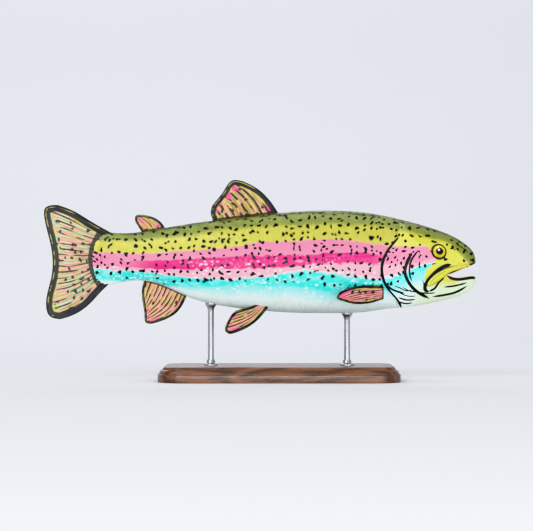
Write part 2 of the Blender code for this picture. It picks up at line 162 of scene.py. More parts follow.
class Curve:
    """A natural cubic spline, held at its ends."""

    def __init__(self, points: Points, rounded: bool = True) -> None:
        """Solves the spline's bends.

        Args:
            points: (where, value) pairs in rising order.
            rounded: whether it runs over the square root of where, which gives the snout its blunt front.
        """
        self.at, self.value = np.array(points, float).T
        self.rounded = rounded
        self.knots = np.sqrt(self.at) if rounded else self.at
        self.step = step = np.diff(self.knots)
        matrix, right = np.eye(len(self.knots)), np.zeros(len(self.knots))
        for k in range(1, len(step)):
            matrix[k, k - 1:k + 2] = step[k - 1], 2 * (step[k - 1] + step[k]), step[k]
        right[1:-1] = 6 * np.diff(np.diff(self.value) / step)
        self.bend = np.linalg.solve(matrix, right)

    def __call__(self, where: Real) -> Array:
        """Reads the curve.

        Args:
            where: the places.

        Returns:
            the values there.
        """
        x = np.clip(np.asarray(where, float), self.at[0], self.at[-1])
        x = np.sqrt(x) if self.rounded else x
        k = np.clip(np.searchsorted(self.knots, x) - 1, 0, len(self.step) - 1)
        a, b, h = self.knots[k + 1] - x, x - self.knots[k], self.step[k]
        cubic = (self.bend[k] * a ** 3 + self.bend[k + 1] * b ** 3) / (6 * h)
        return (cubic + (self.value[k] / h - self.bend[k] * h / 6) * a
                + (self.value[k + 1] / h - self.bend[k + 1] * h / 6) * b)


def smooth_path(points: Sequence[Sequence[float]], count: int) -> Array:
    """A smooth curve through points.

    Args:
        points: the points, in order.
        count: how many to read.

    Returns:
        that many, evenly spaced.
    """
    points = np.array(points, float)
    along = np.concatenate([[0], np.cumsum(np.linalg.norm(np.diff(points, axis=0), axis=1))])
    where = np.linspace(0, along[-1], count)
    return np.stack([Curve(list(zip(along, axis)), rounded=False)(where) for axis in points.T], -1)


def read_by(points: Points, key: int) -> Callable[[Array], Array]:
    """One coordinate of the smooth curve through points, as a function of the one numbered key."""
    path = smooth_path(points, 200)
    path = path if path[0, key] < path[-1, key] else path[::-1]
    return lambda where: np.interp(where, path[:, key], path[:, 1 - key])


def world(points: Array) -> Array:
    """Points of the frame in metres, from (behind the snout, to the left, above the axis) in millimetres."""
    return packed(LENGTH / 2 - points[..., 0], points[..., 1], points[..., 2] + AXIS_HEIGHT) * MM


def mirrored(points: Array) -> Array:
    """The same points on the fish's other side."""
    return points * np.array([1, -1, 1])


def unit(vectors: Array) -> Array:
    """Vectors at unit length."""
    return vectors / np.maximum(np.linalg.norm(vectors, axis=-1, keepdims=True), 1e-12)


# ---- the fish's form

@dataclass(frozen=True)
class Crease:
    """A fold or seam on the side of the head: a bell-shaped groove. The skin ahead of it stands step higher
    than the skin behind it, and dark sets the width of the dark line of painted shade along the groove."""

    course: Points
    depth: float = 0.5
    half_width: float = 0.8
    dark: float = 0.5
    step: float = 0.0
    fade: float = 0.25

    def measure(self, at: Array, height: Array) -> tuple[Array, Array]:
        """How much lower the skin lies, and how dark it is.

        Args:
            at, height: places on the side of the fish.

        Returns:
            (relief, how far inside the dark line of painted shade)
        """
        path = smooth_path(self.course, 90)
        margin = 5 * self.half_width + 3
        low, high = path.min(0) - margin, path.max(0) + margin
        near = (at > low[0]) & (at < high[0]) & (height > low[1]) & (height < high[1])
        relief, line = np.zeros(at.shape), np.full(at.shape, SHADE_LINE_OUT)
        if near.any():
            gap = packed(at[near], height[near])[:, None] - path[None]
            reach = (gap ** 2).sum(-1)
            closest = reach.argmin(1)
            distance = np.sqrt(reach.min(1))
            along = np.gradient(path, axis=0)[closest]
            offset = np.take_along_axis(gap, closest[:, None, None], 1)[:, 0]
            behind = np.sign(along[:, 0] * offset[:, 1] - along[:, 1] * offset[:, 0])
            share = closest / (len(path) - 1)
            ends = ease(share, 0, self.fade) * ease(1 - share, 0, self.fade)
            fold = -self.depth * bell(distance, 0, self.half_width)
            shelf = -0.5 * self.step * behind * np.exp(-distance / (2.5 * self.half_width))
            relief[near] = (fold + shelf * ease(distance, 0, 0.7 * self.half_width)) * ends
            # the dark line of painted shade in the groove
            inside = SHADE_LINE_FULL * self.dark * np.sqrt(ends) - distance / self.half_width
            line[near] = np.maximum(inside, SHADE_LINE_OUT)
        return relief, line


CREASES = (
    Crease([(66.8, 11), (70.6, 4.5), (74.2, -4), (75.2, -12), (73, -18.5), (68.5, -25.5), (62, -31.5),
            (48, -38.8)], 0.75, 1.45, 1.0, 0.7, 0.14),
    Crease([(96, -21), (91.5, -26.4), (84.5, -30.4), (74, -33)], 0.3, 0.9, 1.0),
    Crease([(59, 14.5), (63, 9.5), (67, 4), (70, -3), (70.6, -11), (69.4, -17), (66.5, -23)],
           0.35, 1.0, 0.9, 0.25),
    Crease([(75, -21), (83, -18.5), (94, -13.5)], 0.4, 0.6, 0.3, 0.3),
    Crease([(57.5, -17), (56, -22), (55.2, -27)], 0.2, 0.5, 0.8),
    Crease([(66, -28.5), (73, -30.5), (80, -27.5), (88, -25)], 0.3, 0.6, 0.85),
    Crease([(60, -31.5), (69, -30.8), (79, -25.4)], 0.3, 0.6, 0.85),
    Crease([(62, -35.4), (70, -36), (83, -31)], 0.35, 0.6, 0.85),
    Crease([(63, -39), (72, -39.8), (83, -36.4)], 0.4, 0.75, 0.95),
    Crease([(66, -42.5), (74, -43.4), (82, -40.5)], 0.4, 0.75, 0.9),
    Crease([(42, -32.2), (52, -32.9), (61.5, -31.6)], 0.35, 0.65, 0.9),
    Crease([(8, -24), (14, -28), (22, -31.8), (34, -34.8), (48, -36.8)], 0.5, 0.95, 1.0, 0.3),
    Crease([(8.5, -21.4), (18, -24.2), (27, -25.8), (36, -26.6)], 0.4, 0.85, 0.95),
    Crease([(34, -16.6), (39.5, -21.4), (44.5, -28.2), (50, -30.8)], 0.6, 1.0, 1.0, 0.0, 0.12),
    Crease([(26, -3.2), (31, -4.0), (36, -6.0), (41.5, -9.6), (47, -14.8), (51.8, -20.8), (54.3, -26.4),
            (53.4, -29.8), (49, -31)], 0.8, 1.6, 1.0, 0.3, 0.10),
    Crease([(8, 8.4), (13, 13.2), (21, 17.6)], 0.25, 0.55, 0.8),
    Crease([(5, -1.4), (12, -4.4), (22, -8.2), (31, -12)], 0.25, 0.6, 0.5),
)
NOSTRILS = ((22.6, 12.4, 1.0), (26.2, 13.6, 1.25))
SKULL_BUMPS = (
    # (distance, height, spread along, spread up, rise)
    (60.0, -7.0, 7.0, 9.0, 0.9),
    (38.0, 21.5, 9.0, 3.2, 0.9),
    (30.0, 3.0, 6.0, 5.0, -0.5),
    (49.5, 10.0, 2.4, 7.5, -0.45),
    (40.0, -2.2, 9.0, 2.4, 0.5),
    (84.0, 3.0, 9.0, 12.0, 0.6),
    (12.0, 4.0, 6.0, 5.0, 0.4),
    (20.0, -33.0, 11.0, 3.5, 0.35),
)


class Form:
    """The trout's outer form, on its left half.

    A place on it is (at, turn): the distance behind the snout, and a turn from 0 on the back through 1 on
    the widest line, which is the lips ahead of the mouth's corner, to 2 on the belly."""

    def __init__(self) -> None:
        """Reads the lines and lays out the arc lengths."""
        self.back, self.belly, self.jaw_under = Curve(BACK), Curve(BELLY), Curve(JAW_UNDER)
        self.half_width, self.widest = Curve(HALF_WIDTH), Curve(WIDEST)
        self.jaw_top, self.jaw_half_width = Curve(JAW_TOP), Curve(JAW_HALF_WIDTH)
        self.lateral = Curve(LATERAL_LINE)
        self.band_edges = [Curve(points) for _, points in BAND_EDGES]
        self.gill_at, self.face_at = read_by(GILL_OPENING, 1), read_by(FACE_EDGE, 0)
        self.stations = np.linspace(0, FLESH_END[1], 336)
        self.turns = np.linspace(0, 2, 241)
        rings = self.section(self.stations[:, None], self.turns[None])
        steps = np.linalg.norm(np.diff(rings[..., 1:], axis=1), axis=-1)
        self.arcs = np.concatenate([np.zeros((len(rings), 1)), np.cumsum(steps, axis=1)], 1)
        line = self.lateral(self.stations)
        self.lateral_arc = np.array(
            [np.interp(-z, -ring[:, 2], arc) for z, ring, arc in zip(line, rings, self.arcs)])
        self.shares = np.linspace(0, 1, 321)
        self.unrolled = np.array([np.interp(self.shares * arc[-1], arc, self.turns) for arc in self.arcs])
        self.eye_place, self.eye_normal = self.skin_point(*EYE_CENTRE), self.normal_at(*EYE_CENTRE)

    def under(self, at: Real) -> Array:
        """Height of the underside: the open jaw's as far as the cheek, then the belly's."""
        share = ease(at, *CHEEK_SPAN)
        return self.jaw_under(at) * (1 - share) + self.belly(at) * share

    def edge(self, at: Array, lower: Array) -> tuple[Array, Array]:
        """(half-width, height) of the widest line, or of the lip of one jaw ahead of the mouth's corner."""
        jaw = lower & (at < MOUTH_CORNER)
        return (np.where(jaw, self.jaw_half_width(at), self.half_width(at)),
                np.where(jaw, self.jaw_top(at), self.widest(at)))

    def section(self, at: Real, turn: Real) -> Array:
        """The smooth form: a superellipse quarter above and one below the widest line, sin(a)^(2/p) across
        and cos(a)^(2/p) up, which narrows to nothing in the tail fin.

        Args:
            at, turn: the places.

        Returns:
            their points.
        """
        at, turn = np.broadcast_arrays(at, turn)
        lower = turn > 1
        width, middle = self.edge(at, lower)
        angle = np.clip(np.where(lower, 2 - turn, turn), 0, 1) * pi / 2
        power = 2 / np.where(lower, ROUND_BELOW, ROUND_ABOVE)
        across, up = np.sin(angle) ** power, np.cos(angle) ** power
        narrow = np.sqrt(np.clip((np.interp(across ** 2, (0, 1), FLESH_END) - at) / 12, 0, 1))
        reach = np.where(lower, self.under(at), self.back(at)) - middle
        return packed(at, width * across * narrow, middle + reach * up)

    def end_at(self, turn: Array) -> Array:
        """Where the flesh ends in the tail fin."""
        across = np.sin(np.clip(np.where(turn > 1, 2 - turn, turn), 0, 1) * pi / 2)
        return np.interp(across ** 2, (0, 1), FLESH_END)

    def normals(self, at: Array, turn: Array) -> Array:
        """The smooth form's slopes.

        Args:
            at, turn: the places.

        Returns:
            the outward unit normals.
        """
        at, turn = np.broadcast_arrays(at, turn)
        split = at < MOUTH_CORNER
        low = np.where(split & (turn > 1), 1 + 1e-6, 0)
        high = np.where(split & (turn <= 1), 1, 2)
        along = self.section(at + 0.2, turn) - self.section(np.maximum(at - 0.2, 0), turn)
        around = (self.section(at, np.clip(turn + 0.006, low, high))
                  - self.section(at, np.clip(turn - 0.006, low, high)))
        normal = np.cross(along, around)
        middle = np.where(split & (turn > 1), -24.0, np.where(split, 4.0, 0.0))
        outward = self.section(at, turn) - packed(at + 15, 0, middle)
        size = np.linalg.norm(normal, axis=-1, keepdims=True)
        normal = np.where(size > 1e-9, normal, outward)
        return unit(normal * np.sign((normal * outward).sum(-1, keepdims=True) + 1e-12))

    def skin_side(self, at: Real, height: Real) -> Array:
        """The body's half-width at a height.

        Args:
            at, height: the places.

        Returns:
            the half-widths.
        """
        middle = self.widest(at)
        above = np.clip((height - middle) / (self.back(at) - middle), 0, 1) ** ROUND_ABOVE
        below = np.clip((middle - height) / (middle - self.under(at)), 0, 1) ** ROUND_BELOW
        return self.half_width(at) * np.where(
            height > middle, (1 - above) ** (1 / ROUND_ABOVE), (1 - below) ** (1 / ROUND_BELOW))

    def skin_point(self, at: Real, height: Real) -> Array:
        """The point of the smooth form's left side at a height."""
        return packed(at, self.skin_side(at, height), height)

    def normal_at(self, at: Real, height: Real, reach: float = EYE_LONG) -> Array:
        """The left side's slope at a height.

        Args:
            at, height: the places.
            reach: how far each way the slope is taken over.

        Returns:
            the outward unit normals.
        """
        slope_back = (self.skin_side(at + reach, height) - self.skin_side(at - reach, height)) / (2 * reach)
        slope_up = (self.skin_side(at, height + reach) - self.skin_side(at, height - reach)) / (2 * reach)
        return unit(packed(-slope_back, 1.0, -slope_up))

    def read_table(self, table: Array, at: Array, column: Array) -> Array:
        """Reads a table between its entries.

        Args:
            table: the table, with a row for each station.
            at, column: the places.

        Returns:
            the blended entries.
        """
        row = np.clip(at / self.stations[-1], 0, 1) * (len(self.stations) - 1)
        r, c = np.minimum(row.astype(int), len(self.stations) - 2), np.clip(column, 0, table.shape[1] - 1.001)
        k = c.astype(int)
        f, g = row - r, c - k
        return ((table[r, k] * (1 - g) + table[r, k + 1] * g) * (1 - f)
                + (table[r + 1, k] * (1 - g) + table[r + 1, k + 1] * g) * f)

    def girth(self, at: Array, turn: Array) -> Array:
        """Distance round the body from the lateral line, upwards positive."""
        arc = self.read_table(self.arcs, at, turn / 2 * (len(self.turns) - 1))
        return np.interp(at, self.stations, self.lateral_arc) - arc

    def turn_from_girth(self, at: Array, girth: Array) -> Array:
        """The turn at a distance round the body from the lateral line.

        Args:
            at, girth: the places.

        Returns:
            the turns, below 0 or over 2 on the other side.
        """
        total = np.interp(at, self.stations, self.arcs[:, -1])
        share = (np.interp(at, self.stations, self.lateral_arc) - girth) / total
        inside = 1 - np.abs(1 - np.abs(share))
        turn = self.read_table(self.unrolled, at, inside * (len(self.shares) - 1))
        return np.where(share < 0, -turn, np.where(share > 1, 4 - turn, turn))

    def level(self, at: Array, height: Array) -> Array:
        """The height as it would be at mid-body: a broken line carries the belly, each band's edge and the
        back to their levels there. Edges that would cross near the snout are held apart.

        Args:
            at, height: the places.

        Returns:
            their levels.
        """
        low, high = self.under(at), self.back(at)
        edges = [edge(at) for edge in self.band_edges]
        ceiling = high - 1.0
        for k in reversed(range(len(edges))):
            edges[k] = np.maximum(np.minimum(edges[k], ceiling), low + 1.0 + 0.5 * k)
            ceiling = edges[k] - 1.0
        heights = [low, *edges, high]
        levels = [BELLY_LEVEL, *(level for level, _ in BAND_EDGES), RIDGE_LEVEL]
        result = np.full(np.broadcast(at, height).shape, BELLY_LEVEL)
        for k, rise in enumerate(np.diff(levels)):
            result += rise * np.clip((height - heights[k]) / (heights[k + 1] - heights[k]), 0, 1)
        return result

    def relief(self, at: Array, turn: Array, base: Array) -> tuple[Array, Array]:
        """How far the skin stands off the smooth form: the gill cover rises towards its edge and drops
        behind it, the eye's socket is a bowl, and nostrils are pits with a rim.

        Args:
            at, turn: the places.
            base: their points on the smooth form.

        Returns:
            (the rise, how far inside a dark line of painted shade)
        """
        height = base[..., 2]
        behind = at - self.gill_at(height)
        shut = ease(27 - height, 0, 6) * ease(height + 49, 0, 5)
        cover = np.where(behind <= 0, 0.95 * np.exp(behind / 5), -1.25 * np.exp(-behind / 7))
        rise = cover * shut - COAT_DEPTH * ease(behind, 0, 4)
        # painted shade: a dark line in the gill opening
        line = np.clip(1.5 * np.sqrt(shut) - np.abs(behind - 0.4) / 1.25, SHADE_LINE_OUT, SHADE_LINE_FULL)
        # painted shade: a dark line along the lips, where the mouth opens
        _, lip_height = self.edge(at, turn > 1)
        from_lip = np.abs(height - lip_height) / np.where(turn > 1, 2.5, 1.5)
        along_lip = SHADE_LINE_FULL * ease(at, -1, 2) * np.sqrt(ease(MOUTH_CORNER - at, -0.5, 5))
        lip = np.where(at < MOUTH_CORNER, np.clip(along_lip - from_lip, SHADE_LINE_OUT, None), SHADE_LINE_OUT)
        line = np.maximum(line, lip)
        for crease in CREASES:
            drop, inside = crease.measure(np.where(at < HEAD_END, at, 1e3), height)
            rise += drop
            line = np.maximum(line, inside)
        gap = base - self.eye_place
        out = gap - (gap @ self.eye_normal)[..., None] * self.eye_normal
        ring = np.linalg.norm(out, axis=-1)
        near = (gap[..., 1] > -14) & (np.abs(gap[..., 0]) < 20)
        rise += np.where(near, 0.35 * bell(ring, 9.6, 1.0) - 2.4 * ease(8.7 - ring, 0, 1.7), 0)
        for where, high, radius in NOSTRILS:
            pit = np.hypot(at - where, 1.2 * (height - high))
            rise += 0.3 * bell(pit, 1.5 * radius, 0.5 * radius) - 1.3 * ease(1.15 * radius - pit, 0, radius)
            # painted shade: dark in each nostril's pit
            line = np.maximum(line, np.clip(1.1 - pit / radius, SHADE_LINE_OUT, SHADE_LINE_FULL))
        for where, high, long, tall, swell in SKULL_BUMPS:
            rise += swell * bell(at, where, long) * bell(height, high, tall)
        rise -= 0.16 * bell(height, self.lateral(at), 0.7) * ease(at, 100, 106)
        return rise, line

    def surface(self, at: Array, turn: Array, lift: Real = 0.0) -> Array:
        """Points of the skin.

        Args:
            at, turn: the places, with turns below 0 or over 2 on the right side.
            lift: their height above the skin.

        Returns:
            the points.
        """
        at, turn = np.broadcast_arrays(at, turn)
        right = (turn < 0) | (turn > 2)
        turn = fold_turn(turn)
        base = self.section(at, turn)
        rise, _ = self.relief(at, turn, base)
        points = base + self.normals(at, turn) * (rise + lift)[..., None]
        return np.where(right[..., None], mirrored(points), points)

    def lie(self, at: Array, turn: Array, side: Real) -> Array:
        """(distance, level, distance round) of places; side, 1 or -1, gives the right side its own spots."""
        height = self.section(at, fold_turn(turn))[..., 2]
        return packed(
            at, self.level(at, height), self.girth(at, fold_turn(turn)) + SIDE_SHIFT * np.sign(side))

    def masks(self, at: Array, turn: Array) -> Array:
        """The markings' masks on the left half.

        Args:
            at, turn: the places.

        Returns:
            (how far ahead of the face's edge, share of the pale jaw, how far inside a dark line of painted
            shade) of each.
        """
        base = self.section(at, turn)
        height = base[..., 2]
        face = np.clip(self.face_at(height) - at, FACE_OUT, FACE_FULL)
        lower = ease(-height, 19, 29) * ease(-at, -80, -52)
        jaw = np.maximum(lower, np.where((at < MOUTH_CORNER) & (turn > 1), jaw_tint(at), 0))
        _, line = self.relief(at, turn, base)
        return packed(face, jaw, line)


def jaw_tint(at: Array) -> Array:
    """The share of the pale skin along the lower lip, which fades towards the mouth's corner."""
    return ease(27 - at, 0, 12)


# ---- meshes and nodes

def grid_faces(rows: int, columns: int) -> Array:
    """The quads of a grid of vertices numbered row by row."""
    corner = np.arange((rows - 1) * columns).reshape(rows - 1, columns)[:, :-1].ravel()
    return packed(corner, corner + columns, corner + columns + 1, corner + 1)


class Shell:
    """Patches of points with values at each vertex, gathered into one mesh."""

    def __init__(self) -> None:
        """Starts with no patch."""
        self.points: list[Array] = []
        self.faces: list[Array] = []
        self.values: dict[str, list[Array]] = {}
        self.count = 0

    def add(self, points: Array, faces: Array | None = None, **values: Array) -> None:
        """Adds a patch.

        Args:
            points: a grid of points, or a list with its faces.
            faces: a list's faces.
            values: named numbers or vectors at each point.
        """
        faces = grid_faces(*points.shape[:2]) if faces is None else faces
        self.faces.append(faces + self.count)
        flat = points.reshape(-1, 3)
        self.points.append(flat)
        self.count += len(flat)
        for name, value in values.items():
            value = np.asarray(value, float)
            width = value.shape[-1:] if value.ndim == points.ndim else ()
            self.values.setdefault(name, []).append(value.reshape((len(flat), *width)))

    def add_both(self, points: Array, faces: Array | None = None, **values: Array) -> None:
        """Adds a patch of the left side and its mirror image, whose faces turn the other way.

        Args:
            points, faces, values: as in add. The image's lie is the right side's.
        """
        self.add(points, faces, **values)
        faces = grid_faces(*points.shape[:2]) if faces is None else faces
        if "lie" in values:
            values["lie"] = values["lie"] - np.array([0, 0, 2 * SIDE_SHIFT])
        flat = {name: value.reshape((-1, *value.shape[points.ndim - 1:])) for name, value in values.items()}
        self.add(mirrored(points).reshape(-1, 3), faces[:, ::-1], **flat)

    def build(self, name: str, weld: bool = True, sharp: float | None = None) -> Item:
        """Makes the object.

        Args:
            name: its name.
            weld: whether points that meet are merged and faces turned outwards.
            sharp: the angle, in degrees, over which edges stay sharp.

        Returns:
            the object.
        """
        mesh = bpy.data.meshes.new(name)
        mesh.from_pydata(
            world(np.concatenate(self.points)), [], [face for part in self.faces for face in part.tolist()])
        for key, parts in self.values.items():
            value = np.concatenate(parts)
            kind, slot = ("FLOAT_VECTOR", "vector") if value.ndim == 2 else ("FLOAT", "value")
            mesh.attributes.new(key, kind, "POINT").data.foreach_set(slot, value.ravel().astype(np.float32))
        if weld:
            made = bmesh.new()
            made.from_mesh(mesh)
            bmesh.ops.remove_doubles(made, verts=made.verts, dist=1e-6)
            bmesh.ops.recalc_face_normals(made, faces=made.faces)
            made.to_mesh(mesh)
            made.free()
        mesh.shade_smooth()
        if sharp is not None:
            mesh.set_sharp_from_angle(angle=radians(sharp))
        return link_up(name, mesh)


def link_up(name: str, data: bpy.types.ID) -> Item:
    """A new object of a mesh, a light or a camera, in the scene."""
    item = bpy.data.objects.new(name, data)
    bpy.context.scene.collection.objects.link(item)
    return item


def finish_piece(item: Item, material: Material, slot: str, *nodes: str) -> None:
    """Dresses a piece and puts it on the model's one body.

    Args:
        item: the piece.
        material, slot: its look, and the record's slot, which is not used.
        nodes: the CAD nodes it replaces.
    """
    item.data.materials.append(material)
    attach(item, "root")
    if nodes:
        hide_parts(*nodes)
    LOG.info("%s: %d triangles", item.name, sum(len(face.vertices) - 2 for face in item.data.polygons))


def finish_pair(name: str, node: str, slot: str, material: Material, patches: Iterable[Array],
                **values: Array) -> None:
    """Makes a piece of the left side and its mirror image.

    Args:
        name, node: the pieces' and the CAD nodes' names, without the side.
        slot, material: the record's slot, and the look.
        patches: the left piece's grids of points.
        values: named numbers or vectors at each point.
    """
    for side, sign in SIDES:
        shell = Shell()
        for points in patches:
            shell.add(points if sign > 0 else mirrored(points), **values)
        finish_piece(shell.build(f"{name}_{side}"), material, slot, f"{node}_{side}")


def linear(colour: Colour) -> tuple[float, float, float, float]:
    """A display colour, 0 to 255, as linear light with full alpha."""
    share = [channel / 255 for channel in colour]
    return (*[c / 12.92 if c <= 0.04045 else ((c + 0.055) / 1.055) ** 2.4 for c in share], 1.0)


class Net:
    """Short calls that add linked nodes to a tree. A value may be a socket, a number or a tuple."""

    def __init__(self, tree: bpy.types.NodeTree) -> None:
        """Keeps the tree."""
        self.tree = tree

    def feed(self, socket: Socket, value: Any) -> None:
        """Links an output to a socket, or sets the socket's own value."""
        if isinstance(value, Socket):
            self.tree.links.new(value, socket)
        else:
            socket.default_value = value

    def set(self, node: bpy.types.Node, **values: Any) -> None:
        """Sets a node up.

        Args:
            node: the node.
            values: its properties, and its sockets, which start with a capital, with _ for spaces.
        """
        for name, value in values.items():
            if name[0].isupper():
                self.feed(node.inputs[name.replace("_", " ")], value)
            else:
                setattr(node, name, value)

    def add(self, kind: str, *entries: Any, **values: Any) -> bpy.types.Node:
        """Adds a node.

        Args:
            kind: its type, less ShaderNode.
            entries: its first sockets' values.
            values: as in set.

        Returns:
            the node.
        """
        node = self.tree.nodes.new(f"ShaderNode{kind}")
        self.set(node, **values)
        for socket, entry in zip(node.inputs, entries):
            self.feed(socket, entry)
        return node

    def math(self, operation: str, *entries: Any) -> Socket:
        """A Math node's output."""
        return self.add("Math", *entries, operation=operation).outputs[0]

    def vector_math(self, operation: str, *entries: Any) -> Socket:
        """A Vector Math node's output."""
        return self.add("VectorMath", *entries, operation=operation).outputs[0]

    def product(self, first: Any, *others: Any) -> Any:
        """All the values multiplied."""
        for other in others:
            first = self.math("MULTIPLY", first, other)
        return first

    def span(self, value: Any, low: float, high: float, start: float = 0.0, end: float = 1.0) -> Any:
        """A smooth step of a value from low to high, given out from start to end."""
        return self.add("MapRange", value, low, high, start, end, interpolation_type="SMOOTHSTEP").outputs[0]

    def band(self, value: Any, low: float, high: float, soft: float) -> Any:
        """1 between low and high, with edges of a softness."""
        return self.product(
            self.span(value, low - soft, low + soft), self.span(value, high - soft, high + soft, 1.0, 0.0))

    def wander(self, value: Any, noise: Any, reach: float) -> Socket:
        """A value moved by a noise value, up to half the reach each way."""
        return self.math("ADD", value, self.math("MULTIPLY_ADD", noise, reach, -reach / 2))

    def layers(self, ground: Any, *coats: tuple) -> Socket:
        """Lays colours, which are sockets or display colours, over one another.

        Args:
            ground: the lowest colour.
            coats: (share, colour) of each coat, and its blend where that isn't plain.

        Returns:
            the colour.
        """
        for share, colour, *blend in coats:
            node = self.add(
                "Mix", data_type="RGBA", blend_type=blend[0] if blend else "MIX", clamp_factor=True)
            for socket, value in zip((0, 6, 7), (share, ground, colour)):
                self.feed(node.inputs[socket], linear(value) if isinstance(value, tuple) else value)
            ground = node.outputs[2]
        return ground

    def split(self, vector: Any) -> list[Socket]:
        """A vector's three numbers."""
        return list(self.add("SeparateXYZ", vector).outputs)

    def join(self, *numbers: Any) -> Socket:
        """A vector from up to three numbers."""
        return self.add("CombineXYZ", *numbers).outputs[0]

    def scaled(self, *axes: tuple) -> Socket:
        """A vector from up to three numbers, each with its factors."""
        return self.join(*(self.product(*axis) for axis in axes))

    def noise(self, vector: Any, scale: float, detail: float = 2.0, rough: float = 0.5) -> Any:
        """A noise value from 0 to 1."""
        return self.add("TexNoise", Vector=vector, Scale=scale, Detail=detail, Roughness=rough).outputs[0]

    def grain(self, *axes: tuple, detail: float = 2.0, rough: float = 0.5) -> Any:
        """A noise value over up to three numbers, each with its waves per unit."""
        return self.noise(self.scaled(*axes), 1.0, detail, rough)

    def cells(self, vector: Any, jitter: float = 1.0) -> Any:
        """The outputs of flat Voronoi cells, one unit wide."""
        return self.add(
            "TexVoronoi", voronoi_dimensions="2D", Vector=vector, Scale=1.0, Randomness=jitter).outputs

    def ramp(self, value: Any, stops: Sequence[tuple[float, Colour]]) -> Socket:
        """A colour ramp.

        Args:
            value: what reads it.
            stops: (position, display colour) in order.

        Returns:
            the colour.
        """
        node = self.add("ValToRGB", value)
        elements = node.color_ramp.elements
        for element, (position, colour) in zip(elements, (stops[0], stops[-1])):
            element.position, element.color = position, linear(colour)
        for position, colour in stops[1:-1]:
            elements.new(position).color = linear(colour)
        return node.outputs[0]

    def vector(self, name: str) -> Socket:
        """A mesh attribute's vector."""
        return self.add("Attribute", attribute_name=name).outputs["Vector"]

    def number(self, name: str) -> Socket:
        """A mesh attribute's number."""
        return self.add("Attribute", attribute_name=name).outputs["Fac"]

    def place(self) -> Socket:
        """Object coordinates, in millimetres."""
        return self.vector_math("MULTIPLY", self.add("TexCoord").outputs["Object"], (1000.0, 1000.0, 1000.0))

    def bump(self, height: Any, distance: float) -> Socket:
        """A bump normal from a height, whose full step is a distance in metres."""
        return self.add("Bump", Strength=1.0, Distance=distance, Height=height).outputs[0]


class Group:
    """A shader node group with named inputs and outputs."""

    def __init__(self, name: str, inputs: dict[str, str], outputs: dict[str, str]) -> None:
        """Makes the group.

        Args:
            name: its name.
            inputs, outputs: the names and kinds of its sockets.
        """
        self.tree = bpy.data.node_groups.new(name, "ShaderNodeTree")
        for direction, sockets in (("INPUT", inputs), ("OUTPUT", outputs)):
            for label, kind in sockets.items():
                self.tree.interface.new_socket(name=label, in_out=direction, socket_type=kind)
        self.net = Net(self.tree)
        self.inputs = self.tree.nodes.new("NodeGroupInput").outputs
        self.end = self.tree.nodes.new("NodeGroupOutput")

    def use(self, net: Net, **values: Any) -> Any:
        """Places the group in a tree with its own values, and gives its outputs."""
        return net.add("Group", node_tree=self.tree, **values).outputs


# ---- finishes

NUMBER, VECTOR, COLOUR = "NodeSocketFloat", "NodeSocketVector", "NodeSocketColor"


@dataclass(frozen=True)
class SpotSize:
    """One sort of spot: the width of its cells in millimetres, its least radius and what chance adds to it
    in cells, how slim it is, and the share of empty cells."""

    cell: float
    least: float
    extra: float
    slim: float
    empty: float


SPOT_SIZES = (SpotSize(8.2, 0.20, 0.09, 0.72, 0.22), SpotSize(7.2, 0.185, 0.06, 0.88, 0.62))
SPOT_WARPS = ((0.05, 10.0), (0.5, 0.9))  # (waves a millimetre, reach in millimetres)
SPOT_JITTER = 0.45


